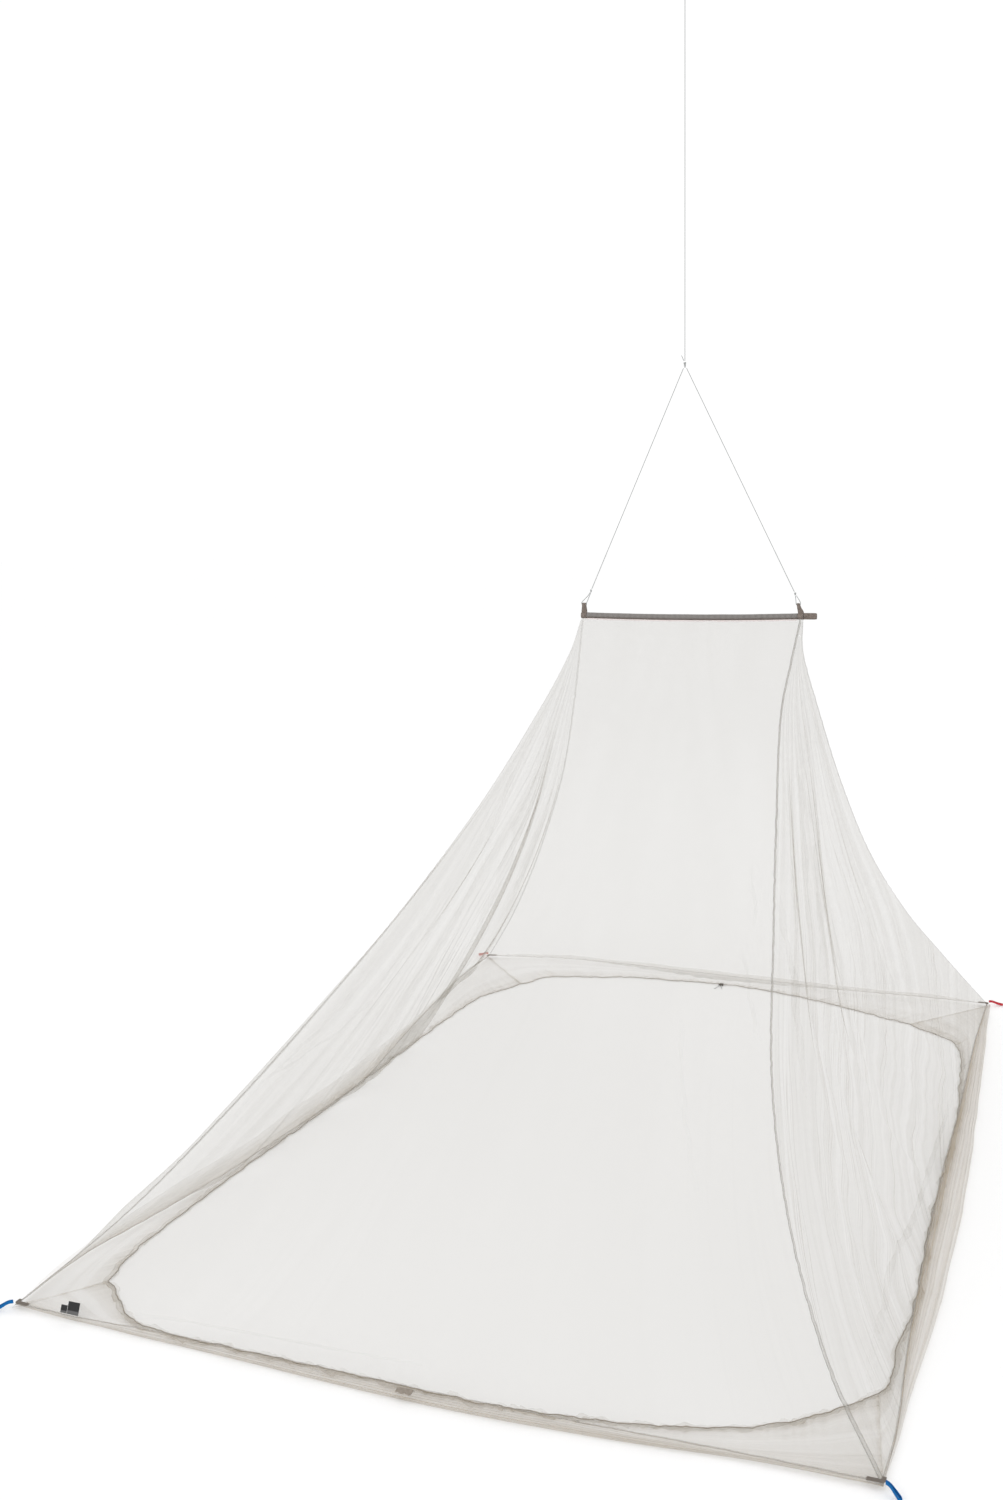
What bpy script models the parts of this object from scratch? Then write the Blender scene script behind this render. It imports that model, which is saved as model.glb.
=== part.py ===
"""Mosquito net canopy that hangs from a spreader bar on a bridle and one cord.

Four net walls hang from a short bar and reach a rectangle 2.0 m by 2.4 m on the
floor. Each pair of walls meets in a ridge seam. A skirt is sewn to the hem of
each wall: it bulges outwards along the floor and turns back under the net to a
gathered rim, where a drawcord runs. The walls sag between their seams and carry
a few long folds, and the left wall's hem is drawn inwards.

Places are given in a frame on the floor, x from left to right and y from front
to back, with its origin in the middle of the rectangle. Everything is parented
to an empty, so that the part's own origin is the top of the hanging loop.
"""

import math
from collections import namedtuple

import bmesh
import bpy
from mathutils import Matrix, Vector

# ---------------------------------------------------------------- sizes, in metres
HALF_WIDTH = 1.0            # the floor rectangle is 2.0 m across
HALF_LENGTH = 1.2           # and 2.4 m from front to back
HANG_POINT = Vector((0.238, 0.098, 3.160))

CLOTH = 0.002               # thickness of a net sheet's solid
TAPE = 0.0016               # thickness of a tape, a tab or a strip of webbing
GAP = 0.0004                # room between pieces that are sewn to each other
EDGE_GAP = 0.0013           # the same beside a sheet that slopes up from its edge

HEM_Z = 0.012               # middle of the cloth along the hem line
HEM_TAPE_HALF = 0.004
RIDGE_RADIUS = 0.0035
RIDGE_STAND_OFF = 0.0040    # from a ridge's middle to the edge of a wall
RIDGE_FIRST = 0.002         # part of the way down where the ridge seams start
RIDGE_LAST = 0.985          # and where they end, at the corner tabs
SIDE_WALL_FIRST = 0.0035    # the side walls start just under the bar tabs
WALL_CORNER_GAP = 0.0085
TAPE_CORNER_GAP = 0.005

SKIRT_LOW_Z = 0.002         # middle of the skirt's layer on the floor
SKIRT_RISE = 0.011          # highest rise of the skirt's bulge above the hem
SKIRT_LEAST = 0.0095        # least reach of a bulge beyond the hem line
SKIRT_STEEPEST = 0.25       # most rise for its width
SKIRT_CORNER = (0.05, 0.16) # the bulge rises between these distances from a corner
SKIRT_CREST = 0.45          # parts of the bulge's width, at its crest and past it
SKIRT_BROW = 0.86
SKIRT_BROW_RISE = 0.55      # part of the rise that is left there
SKIRT_NOSE_Z = 0.0080
SKIRT_UNDER_Z = 0.0034
RIM_RADIUS = 0.0024
RIM_GAP = 0.0009
RIM_Z = 0.003
MITRE_GAP = 0.002           # from a mitre to the end of a skirt, along the edge

BAR_Y = 0.098
BAR_RADIUS = 0.005
BAR_LEFT_X = -0.0945
BAR_RIGHT_X = 0.5540
SLEEVE_RADIUS = 0.0084      # middle of the sleeve's cloth
SLEEVE_CLOTH = 0.0012
SLEEVE_LEFT_X = -0.0772
SLEEVE_RIGHT_X = 0.5372
SLEEVE_SIDES = 12
FLAP_LEFT_X = 0.5552
FLAP_RIGHT_X = 0.5900
FLAP_HALF_HEIGHT = 0.0088
TAB_WIDTH = 0.016
TAB_RING = 0.0082           # middle of the tab's webbing round the bar
TAB_HALF_GAP = 0.0022       # half the distance between the tab's two layers
TAB_RISE = 0.0325           # from the bar's middle to the top of the tab's layers
TAB_LAYER_RISES = (0.0140, 0.0230)
TAB_TURNS = 12              # steps of the webbing round the bar
TAB_TOP_TURNS = 4           # and over the tab's top
BAR_STEPS = 8
FLAP_SECTIONS = (
    # part of its length, half width
    (0.00, 0.0062),
    (0.35, 0.0040),
    (1.00, 0.0030),
)
FLAP_RISE = 0.004           # the flat end rises a little towards its tip
BAR_TABS = (
    # name, middle along the bar, lean of the top, width of the top
    ("left", -0.0860, 0.0000, 0.0110),
    ("right", 0.5461, -0.0075, 0.0080),
)

CORD_RADIUS = 0.0010
APEX = Vector((0.2244, BAR_Y, 2.1700))
APEX_KNOT_HALF = Vector((0.0040, 0.0040, 0.0085))
BRIDLE_KNOT_HALF = Vector((0.0030, 0.0030, 0.0045))
BRIDLE_KNOTS = {"left": Vector((-0.0640, BAR_Y, 1.5630)), "right": Vector((0.5300, BAR_Y, 1.5600))}
BRIDLE_SPREAD = 0.0016      # half the distance between the bridle's cords at the apex
BRIDLE_DROP = 0.004         # from the middle of the apex knot to where they leave it
BRIDLE_KNOT_GAP = 0.0054    # from a knot's middle to the end of the cord beside it
APEX_GAP = 0.0062
TOP_KNOT_GAP = 0.0052
TOP_KNOT = Vector((0.2372, BAR_Y, 3.0960))
BRIDLE_STEPS = 10
LONG_CORD_STEPS = 12

# The small cords' routes in the upright plane of the bar.
LEFT_LOOP_ROUTE = (
    (-0.0672, 1.5578), (-0.0735, 1.5490), (-0.0830, 1.5400), (-0.0905, 1.5330),
    (-0.0932, 1.5290), (-0.0934, 1.5252), (-0.0918, 1.5236), (-0.0860, 1.5232),
    (-0.0802, 1.5236), (-0.0786, 1.5252), (-0.0784, 1.5290), (-0.0735, 1.5390),
    (-0.0672, 1.5530), (-0.0652, 1.5577),
)
RIGHT_LOOP_ROUTE = (
    (0.5304, 1.5546), (0.5312, 1.5480), (0.5320, 1.5400), (0.5326, 1.5330),
    (0.5334, 1.5305), (0.5350, 1.5296), (0.5388, 1.5294), (0.5426, 1.5296),
    (0.5443, 1.5312), (0.5444, 1.5360), (0.5410, 1.5430), (0.5350, 1.5520),
    (0.5330, 1.5552),
)
APEX_TAIL_ROUTE = ((0.2212, 2.1795), (0.2196, 2.1835), (0.2178, 2.1880), (0.2150, 2.1935))
HANG_LOOP_ROUTE = (
    (0.2350, 3.1018), (0.2320, 3.1090), (0.2290, 3.1200), (0.2280, 3.1330),
    (0.2290, 3.1450), (0.2325, 3.1540), (0.2380, 3.1590), (0.2435, 3.1540),
    (0.2470, 3.1450), (0.2480, 3.1330), (0.2470, 3.1200), (0.2435, 3.1090),
    (0.2394, 3.1018),
)

# The drawcord's lock and the cord's two ends, which come out of its front face.
TOGGLE_T = 0.500            # part of the way along the back rim
TOGGLE_REACH = 0.030        # parts of the rim that give its heading
TOGGLE_HALF = Vector((0.0095, 0.0055, 0.0045))
TOGGLE_ROUNDING = 0.0015
TOGGLE_GAP = 0.0012         # from the rim's casing to the lock
CORD_END_ROUTES = {
    # across, towards the front, height
    "left": ((-0.0040, 0.0014, 0.0045), (-0.0060, 0.0120, 0.0036), (-0.0105, 0.0230, 0.0020),
             (-0.0160, 0.0350, 0.0014)),
    "right": ((0.0040, 0.0014, 0.0045), (0.0050, 0.0110, 0.0036), (0.0085, 0.0200, 0.0020),
              (0.0135, 0.0290, 0.0014)),
}

# The labels stand in the front hem's seam. The tag lies over the front skirt's bulge.
LABELS = (
    # name, middle along the front hem, width, height
    ("hem_label_small", -0.8560, 0.017, 0.017),
    ("hem_label_large", -0.8320, 0.028, 0.027),
)
LABEL_CLOTH = 0.0010
LABEL_UP = Vector((0.0, 0.37, 0.93))
LABEL_LIFT = 0.0045         # from the wall's foot to the middle of a label's cloth
LABEL_GAP = 0.0006          # from the wall's foot up to a label's lower edge
HEM_TAG_X = 0.024
HEM_TAG_SIZE = (0.036, 0.012)
HEM_TAG_LIFT = 0.0026

LOOP_HALF_HEIGHT = 0.0038
LOOP_CLOTH = 0.0013
CORNER_TAB_Z = 0.0145
CORNER_TAB_LEG = 0.033
CORNER_TAB_OUT = 0.008
CORNER_TAB_IN = 0.004
CORNER_TAB_CHAMFER = 0.006
CORNER_REACH = 0.040        # how much of the hem gives a tab's leg its heading

# The four ridge seams, from the bar (way 0) to the floor (way 1).
HEIGHT = 1                  # the column of the ridges' heights
RIDGE_X_COLUMN = {"front_left": 2, "front_right": 4, "back_right": 6, "back_left": 8}
RIDGES = (
    # way  height   front left       front right      back right      back left
    (0.00, 1.486, -0.092, 0.0904,  0.547, 0.0904,  0.550, 0.1056, -0.094, 0.1056),
    (0.05, 1.394, -0.111, 0.046,  0.536, 0.043,  0.545, 0.131, -0.118, 0.134),
    (0.13, 1.250, -0.170, -0.028,  0.523, -0.034,  0.574, 0.175, -0.158, 0.182),
    (0.28, 1.000, -0.287, -0.191,  0.547, -0.186,  0.627, 0.288, -0.252, 0.298),
    (0.43, 0.750, -0.428, -0.386,  0.588, -0.385,  0.690, 0.442, -0.395, 0.468),
    (0.60, 0.500, -0.588, -0.616,  0.648, -0.643,  0.776, 0.665, -0.570, 0.680),
    (0.75, 0.300, -0.729, -0.815,  0.740, -0.868,  0.864, 0.878, -0.730, 0.872),
    (0.89, 0.130, -0.864, -1.012,  0.867, -1.072,  0.942, 1.062, -0.880, 1.045),
    (1.00, 0.012, -0.987, -1.214,  0.999, -1.212,  1.003, 1.181, -0.988, 1.170),
)

# The bar's middle: it is a little bowed, and its right end is higher.
BAR = (
    # x       z
    (-0.095, 1.4935),
    (0.080, 1.4915),
    (0.240, 1.4920),
    (0.400, 1.4945),
    (0.600, 1.5010),
)

# Each edge on the floor, by the place along it. The hem line lies seam_in inside
# the straight edge, the skirt bulges to pouf_out outside it, and the drawn rim
# lies rim_in inside it.
SEAM_IN, POUF_OUT, RIM_IN = 1, 2, 3
FRONT_HEM = (
    (-0.987, -0.0140, 0.0180, 0.1200),
    (-0.861, -0.0195, 0.0260, 0.1200),
    (-0.800, -0.0200, 0.0270, 0.0840),
    (-0.720, -0.0170, 0.0280, 0.0250),
    (-0.600, -0.0140, 0.0320, -0.0010),
    (-0.400, -0.0165, 0.0380, -0.0060),
    (-0.080, -0.0200, 0.0510, -0.0100),
    (0.180, -0.0235, 0.0530, -0.0140),
    (0.440, -0.0195, 0.0430, 0.0060),
    (0.590, -0.0155, 0.0360, 0.0320),
    (0.740, -0.0130, 0.0260, 0.0760),
    (0.860, -0.0125, 0.0220, 0.1490),
    (0.953, -0.0120, 0.0215, 0.2290),
    (0.999, -0.0120, 0.0215, 0.2290),
)
RIGHT_HEM = (
    (-1.212, 0.0010, 0.0060, 0.0470),
    (-1.100, -0.0040, 0.0175, 0.0470),
    (-1.000, -0.0020, 0.0225, 0.0470),
    (-0.971, 0.0000, 0.0240, 0.0470),
    (-0.930, 0.0030, 0.0275, 0.0310),
    (-0.800, 0.0090, 0.0330, 0.0320),
    (-0.690, 0.0125, 0.0390, 0.0170),
    (-0.600, 0.0135, 0.0430, 0.0170),
    (-0.300, 0.0185, 0.0510, 0.0230),
    (0.000, 0.0180, 0.0500, 0.0170),
    (0.300, 0.0120, 0.0420, 0.0140),
    (0.490, 0.0110, 0.0370, 0.0280),
    (0.640, 0.0110, 0.0320, 0.0370),
    (0.770, 0.0100, 0.0290, 0.0570),
    (0.850, 0.0090, 0.0260, 0.1040),
    (0.940, 0.0060, 0.0210, 0.2400),
    (1.181, -0.0030, 0.0100, 0.2400),
)
BACK_HEM = (
    (-0.988, 0.0300, -0.0180, 0.2610),
    (-0.860, 0.0060, 0.0180, 0.2610),
    (-0.734, -0.0140, 0.0390, 0.2610),
    (-0.680, -0.0210, 0.0470, 0.1800),
    (-0.600, -0.0240, 0.0490, 0.1460),
    (-0.480, -0.0240, 0.0490, 0.1200),
    (-0.350, -0.0220, 0.0490, 0.0850),
    (-0.200, -0.0140, 0.0410, 0.0760),
    (-0.030, -0.0070, 0.0350, 0.0640),
    (0.110, 0.0010, 0.0280, 0.0700),
    (0.290, 0.0110, 0.0190, 0.1040),
    (0.425, 0.0190, 0.0090, 0.1410),
    (0.560, 0.0210, 0.0060, 0.1880),
    (0.760, 0.0150, 0.0100, 0.2560),
    (1.003, 0.0190, -0.0080, 0.2560),
)
LEFT_HEM = (
    (-1.214, 0.0130, 0.0000, 0.1390),
    (-1.080, 0.0090, 0.0100, 0.1390),
    (-0.980, 0.0170, 0.0140, 0.1140),
    (-0.900, 0.0360, 0.0140, 0.1080),
    (-0.780, 0.0620, 0.0080, 0.1090),
    (-0.670, 0.0820, -0.0060, 0.1110),
    (-0.570, 0.0990, -0.0220, 0.1130),
    (-0.450, 0.1100, -0.0400, 0.1190),
    (-0.200, 0.1360, -0.0460, 0.1320),
    (0.040, 0.1430, -0.0600, 0.1380),
    (0.200, 0.1170, -0.0600, 0.1410),
    (0.410, 0.0820, -0.0540, 0.1460),
    (0.630, 0.0500, -0.0380, 0.1560),
    (0.780, 0.0310, -0.0200, 0.1760),
    (0.939, 0.0130, -0.0030, 0.2610),
    (1.170, 0.0120, -0.0020, 0.2610),
)

Edge = namedtuple("Edge", "name start end hem columns top_row")
EDGES = (
    # from one corner to the next, seen from above against the clock
    Edge("front", "front_left", "front_right", FRONT_HEM, 20, 0.0),
    Edge("right", "front_right", "back_right", RIGHT_HEM, 24, SIDE_WALL_FIRST),
    Edge("back", "back_right", "back_left", BACK_HEM, 20, 0.0),
    Edge("left", "back_left", "front_left", LEFT_HEM, 24, SIDE_WALL_FIRST),
)

# Where the rim turns each corner, on the line of the skirts' mitre.
RIM_CORNERS = {
    "front_left": (-0.861, -1.080),
    "front_right": (0.953, -0.971),
    "back_right": (0.760, 0.944),
    "back_left": (-0.739, 0.939),
}

WALL_SAG = 0.070            # how far the middle of a wall hangs below its ridges
SAG_BY_WAY = ((0.0, 0.0), (0.30, 0.80), (0.55, 1.0), (0.93, 0.75), (1.0, 0.0))
WALL_ROWS = (0.0, 0.04, 0.10, 0.20, 0.32, 0.45, 0.58, 0.70, 0.81, 0.90, 0.96, 1.0)
BOW_LAST = 0.30             # the bar's bow shows in the cloth down to here
SLOPE_STEP = 0.004          # steps that give a wall's slope and a ridge's heading
RIDGE_STEP = 0.010
FOLD_CALM_SIDE = 0.07       # folds fade out this near the seams
FOLD_FIRST = (0.02, 0.25)   # and over these parts of the way at the top and the hem
FOLD_LAST = (0.90, 1.00)

# Long folds, by the part of the wall's width at four places on the way down.
FOLD_WAYS = (0.10, 0.30, 0.50, 0.90)
FOLDS = {
    # four parts of the width, then the fold's half width and its height outwards
    "front": (
        (0.30, 0.26, 0.22, 0.16, 0.10, 0.006),
        (0.62, 0.66, 0.72, 0.84, 0.12, -0.006),
    ),
    "right": (
        (0.06, 0.15, 0.19, 0.24, 0.06, 0.016),
        (0.20, 0.27, 0.30, 0.34, 0.06, -0.016),
        (0.55, 0.46, 0.39, 0.26, 0.09, 0.022),
        (0.72, 0.62, 0.56, 0.50, 0.08, -0.018),
        (0.86, 0.74, 0.73, 0.70, 0.07, 0.016),
    ),
    "back": (
        (0.40, 0.42, 0.46, 0.52, 0.14, -0.010),
        (0.80, 0.82, 0.85, 0.90, 0.10, 0.010),
    ),
    "left": (
        (0.14, 0.13, 0.12, 0.12, 0.06, -0.018),
        (0.28, 0.24, 0.22, 0.24, 0.06, 0.018),
        (0.66, 0.45, 0.35, 0.38, 0.08, -0.020),
        (0.84, 0.68, 0.62, 0.60, 0.10, 0.020),
        (0.90, 0.78, 0.82, 0.80, 0.06, -0.020),
        (0.95, 0.93, 0.945, 0.95, 0.06, 0.030),
    ),
}

# The webbing loops at the corners: length, and the heading where each starts and ends.
CornerLoop = namedtuple("CornerLoop", "length start_degrees end_degrees colour")
CORNER_LOOPS = {
    "front_left": CornerLoop(0.046, 203.0, 222.0, "blue_webbing"),
    "front_right": CornerLoop(0.042, -24.0, -46.0, "blue_webbing"),
    "back_right": CornerLoop(0.052, 24.0, 12.0, "red_webbing"),
    "back_left": CornerLoop(0.052, 158.0, 170.0, "red_webbing"),
}
LOOP_SHAPE = (
    # part of the length, half the width, height of the middle
    (0.00, 0.0011, 0.0186),
    (0.16, 0.0016, 0.0184),
    (0.32, 0.0028, 0.0162),
    (0.50, 0.0042, 0.0120),
    (0.68, 0.0046, 0.0085),
    (0.84, 0.0044, 0.0064),
)
LOOP_START = 0.0092         # from the hem's corner to the loop's root
LOOP_STEPS = 20
LOOP_END_STEPS = 5
LOOP_END_Z = 0.0052

COLOURS = {
    # red, green, blue, roughness
    "net": (0.78, 0.77, 0.74, 0.85),
    "seam": (0.52, 0.51, 0.48, 0.80),
    "sleeve_cloth": (0.27, 0.25, 0.23, 0.85),
    "bar": (0.62, 0.63, 0.65, 0.35),
    "webbing": (0.24, 0.21, 0.19, 0.85),
    "blue_webbing": (0.01, 0.11, 0.42, 0.70),
    "red_webbing": (0.72, 0.05, 0.07, 0.70),
    "cord": (0.55, 0.56, 0.56, 0.70),
    "label": (0.05, 0.05, 0.05, 0.60),
    "toggle": (0.10, 0.09, 0.08, 0.50),
}


# ---------------------------------------------------------------- helpers
def clear_scene():
    for item in list(bpy.data.objects):
        bpy.data.objects.remove(item, do_unlink=True)


def smooth(table, column, at):
    """A column's value at a place along the table's first column, on a smooth curve."""
    places = [row[0] for row in table]
    values = [row[column] for row in table]
    last = len(places) - 1
    at = min(max(at, places[0]), places[last])
    step = max(k for k in range(last) if places[k] <= at)

    def slope(k):
        low = max(k - 1, 0)
        high = min(k + 1, last)
        return (values[high] - values[low]) / (places[high] - places[low])

    span = places[step + 1] - places[step]
    t = (at - places[step]) / span
    bend = t * t * (3 - 2 * t)
    lean_in = t * (1 - t) * (1 - t) * span * slope(step)
    lean_out = t * t * (1 - t) * span * slope(step + 1)
    return values[step] * (1 - bend) + values[step + 1] * bend + lean_in - lean_out


def ramp(value, low, high):
    """0 at or below low, 1 at or above high, and smooth between them."""
    t = min(max((value - low) / (high - low), 0.0), 1.0)
    return t * t * (3 - 2 * t)


def material(name):
    found = bpy.data.materials.get(name)
    if found:
        return found
    red, green, blue, roughness = COLOURS[name]
    made = bpy.data.materials.new(name)
    made.use_nodes = True
    shader = made.node_tree.nodes["Principled BSDF"]
    shader.inputs["Base Color"].default_value = (red, green, blue, 1.0)
    shader.inputs["Roughness"].default_value = roughness
    shader.inputs["Metallic"].default_value = 1.0 if name == "bar" else 0.0
    return made


class Builder:
    """Adds named pieces to the canopy's collection, under one empty."""

    def __init__(self):
        self.collection = bpy.data.collections.new("mosquito_net_canopy")
        bpy.context.scene.collection.children.link(self.collection)
        self.frame = bpy.data.objects.new("hanging_frame", None)
        self.frame.location = -HANG_POINT
        self.collection.objects.link(self.frame)

    def add(self, name, data, colour):
        data.materials.append(material(colour))
        piece = bpy.data.objects.new(name, data)
        piece.parent = self.frame
        self.collection.objects.link(piece)
        return piece

    def sheet(self, name, rows, thickness, colour, closed=False):
        """A loft through rows of points, thickened; closed joins the last row's ends."""
        bm = bmesh.new()
        grid = [[bm.verts.new(point) for point in row] for row in rows]
        across = len(grid[0])
        turns = across if closed else across - 1
        for low, high in zip(grid, grid[1:]):
            for k in range(turns):
                after = (k + 1) % across
                bm.faces.new((low[k], low[after], high[after], high[k]))
        mesh = bpy.data.meshes.new(name)
        bm.to_mesh(mesh)
        bm.free()
        mesh.shade_smooth()
        mesh.set_sharp_from_angle(angle=math.radians(40))
        piece = self.add(name, mesh, colour)
        thicken = piece.modifiers.new("thickness", "SOLIDIFY")
        thicken.thickness = thickness
        thicken.offset = 0.0
        thicken.use_quality_normals = True
        return piece

    def tube(self, name, points, radius, colour, sides_step=1):
        """A round cord or rolled seam along a list of points."""
        curve = bpy.data.curves.new(name, "CURVE")
        curve.dimensions = "3D"
        curve.bevel_depth = radius
        curve.bevel_resolution = sides_step
        curve.use_fill_caps = True
        line = curve.splines.new("POLY")
        line.points.add(len(points) - 1)
        for place, point in zip(line.points, points):
            place.co = (*point, 1.0)
        return self.add(name, curve, colour)

    def plate(self, name, outline, thickness, colour, place):
        """A flat piece: an outline against the clock, half the thickness to each side."""
        curve = bpy.data.curves.new(name, "CURVE")
        curve.dimensions = "2D"
        curve.fill_mode = "BOTH"
        curve.extrude = thickness / 2
        line = curve.splines.new("POLY")
        line.points.add(len(outline) - 1)
        for spot, (x, y) in zip(line.points, outline):
            spot.co = (x, y, 0.0, 1.0)
        line.use_cyclic_u = True
        piece = self.add(name, curve, colour)
        piece.matrix_local = place
        return piece

    def knot(self, name, middle, half_size, colour):
        """A small round knot."""
        bm = bmesh.new()
        bmesh.ops.create_uvsphere(bm, u_segments=8, v_segments=6, radius=1.0)
        bmesh.ops.scale(bm, vec=half_size, verts=bm.verts)
        mesh = bpy.data.meshes.new(name)
        bm.to_mesh(mesh)
        bm.free()
        mesh.shade_smooth()
        piece = self.add(name, mesh, colour)
        piece.location = middle
        return piece


# ---------------------------------------------------------------- shape of the net
def bar_height(x):
    return smooth(BAR, 1, x)


def follow_bar(x, way):
    """How much the bar's bow lifts the cloth near it."""
    return (bar_height(x) - BAR[0][1]) * (1 - ramp(way, 0.0, BOW_LAST))


def ridge_point(corner, way):
    column = RIDGE_X_COLUMN[corner]
    x = smooth(RIDGES, column, way)
    y = smooth(RIDGES, column + 1, way)
    return Vector((x, y, smooth(RIDGES, HEIGHT, way) + follow_bar(x, way)))


def edge_point(edge, along, out, z):
    """A place on the floor plan: along an edge, and out from the straight edge."""
    places = {
        "front": (along, -(HALF_LENGTH + out), z),
        "right": (HALF_WIDTH + out, along, z),
        "back": (along, HALF_LENGTH + out, z),
        "left": (-(HALF_WIDTH + out), along, z),
    }
    return Vector(places[edge.name])


def along_of(edge, place):
    return place[0] if edge.name in ("front", "back") else place[1]


def outward(edge):
    return edge_point(edge, 0, 1, 0) - edge_point(edge, 0, 0, 0)


def stations(edge):
    """Parts of the way along an edge, closer together near the corners."""
    count = edge.columns
    even = [k / count for k in range(count + 1)]
    return [0.6 * t + 0.4 * (1 - math.cos(math.pi * t)) / 2 for t in even]


def hem_ends(edge):
    start = along_of(edge, ridge_point(edge.start, 1.0))
    end = along_of(edge, ridge_point(edge.end, 1.0))
    return start, end


def rim_ends(edge):
    return along_of(edge, RIM_CORNERS[edge.start]), along_of(edge, RIM_CORNERS[edge.end])


def hem_point(edge, t):
    start, end = hem_ends(edge)
    along = start + (end - start) * t
    return edge_point(edge, along, -smooth(edge.hem, SEAM_IN, along), HEM_Z)


def rim_point(edge, t):
    start, end = rim_ends(edge)
    along = start + (end - start) * t
    return edge_point(edge, along, -smooth(edge.hem, RIM_IN, along), RIM_Z)


def side_normals(points, out):
    """Level unit normals of a line of points, on its outer side, with their mitre."""
    normals = []
    last = len(points) - 1
    for k in range(last + 1):
        before = points[k] - points[max(k - 1, 0)]
        after = points[min(k + 1, last)] - points[k]
        sides = []
        for step in (before, after):
            if step.length > 0:
                side = Vector((step.y, -step.x, 0)).normalized()
                sides.append(side if side.dot(out) > 0 else -side)
        middle = sum(sides, Vector()).normalized()
        normals.append(middle / middle.dot(sides[0]))
    return normals


def offset_line(points, normals, distance):
    return [point + normal * distance for point, normal in zip(points, normals)]


def hem_line(edge, distance, end_gap):
    """The hem's line at the stations, moved outwards, with its ends drawn in."""
    points = [hem_point(edge, t) for t in stations(edge)]
    moved = offset_line(points, side_normals(points, outward(edge)), distance)
    for end, inner in ((0, 1), (-1, -2)):
        step = (moved[inner] - moved[end]).normalized()
        moved[end] = moved[end] + step * end_gap
    return moved


def wall_base(edge, t, way):
    """The wall without its folds: between its ridges, sagging, drawn in to its hem."""
    start = ridge_point(edge.start, way)
    end = ridge_point(edge.end, way)
    point = start.lerp(end, t)
    point.z = smooth(RIDGES, HEIGHT, way) + follow_bar(point.x, way)
    point.z -= WALL_SAG * 4 * t * (1 - t) * smooth(SAG_BY_WAY, 1, way)
    straight = ridge_point(edge.start, 1.0).lerp(ridge_point(edge.end, 1.0), t)
    point += (hem_point(edge, t) - straight) * way ** 3
    return point


def fold_height(edge, t, way, width):
    """How far the folds move a point of a wall outwards."""
    total = 0.0
    for fold in FOLDS[edge.name]:
        line = tuple(zip(FOLD_WAYS, fold))
        middle = smooth(line, 1, way)
        half_width, height = fold[4], fold[5]
        away = (t - middle) * width / half_width
        total += height * math.exp(-away * away)
    sides = ramp(min(t, 1 - t) * width, 0.0, FOLD_CALM_SIDE)
    ends = ramp(way, *FOLD_FIRST) * (1 - ramp(way, *FOLD_LAST))
    return total * sides * ends


def wall_point(edge, t, way):
    """A point of a wall. t runs from one ridge seam's edge to the other's."""
    start = ridge_point(edge.start, way)
    end = ridge_point(edge.end, way)
    across = end - start
    width = across.length
    across.normalize()
    margins = []
    for corner in (edge.start, edge.end):
        above = ridge_point(corner, max(way - RIDGE_STEP, 0.0))
        seam = ridge_point(corner, min(way + RIDGE_STEP, 1.0)) - above
        seam.normalize()
        margins.append(RIDGE_STAND_OFF / (across - seam * across.dot(seam)).length / width)
    t = margins[0] + (1 - margins[0] - margins[1]) * t
    point = wall_base(edge, t, way)
    small = SLOPE_STEP
    to_side = wall_base(edge, min(t + small, 1), way) - wall_base(edge, max(t - small, 0), way)
    down = wall_base(edge, t, min(way + small, 1)) - wall_base(edge, t, max(way - small, 0))
    normal = down.cross(to_side).normalized()
    if normal.dot(outward(edge)) < 0:
        normal = -normal
    point += normal * fold_height(edge, t, way, width)
    point.z = max(point.z, HEM_Z)
    return point


def wall_rows(edge):
    rows = []
    for way in WALL_ROWS[:-1]:
        way = max(way, edge.top_row)
        rows.append([wall_point(edge, t, way) for t in stations(edge)])
    rows.append(hem_line(edge, -(HEM_TAPE_HALF + EDGE_GAP), WALL_CORNER_GAP))
    return rows


def rim_edge_line(edge):
    """The inner edge of a skirt: beside the rim's cord, its ends clear of the mitres."""
    place = EDGES.index(edge)
    before = EDGES[place - 1]
    after = EDGES[(place + 1) % len(EDGES)]
    points = [rim_point(before, stations(before)[-2])]
    points += [rim_point(edge, t) for t in stations(edge)]
    points.append(rim_point(after, stations(after)[1]))
    normals = side_normals(points, outward(edge))
    moved = offset_line(points, normals, RIM_RADIUS + RIM_GAP)[1:-1]
    for end, inner in ((0, 1), (-1, -2)):
        moved[end] = moved[end] + (moved[inner] - moved[end]).normalized() * MITRE_GAP
    return moved


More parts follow.
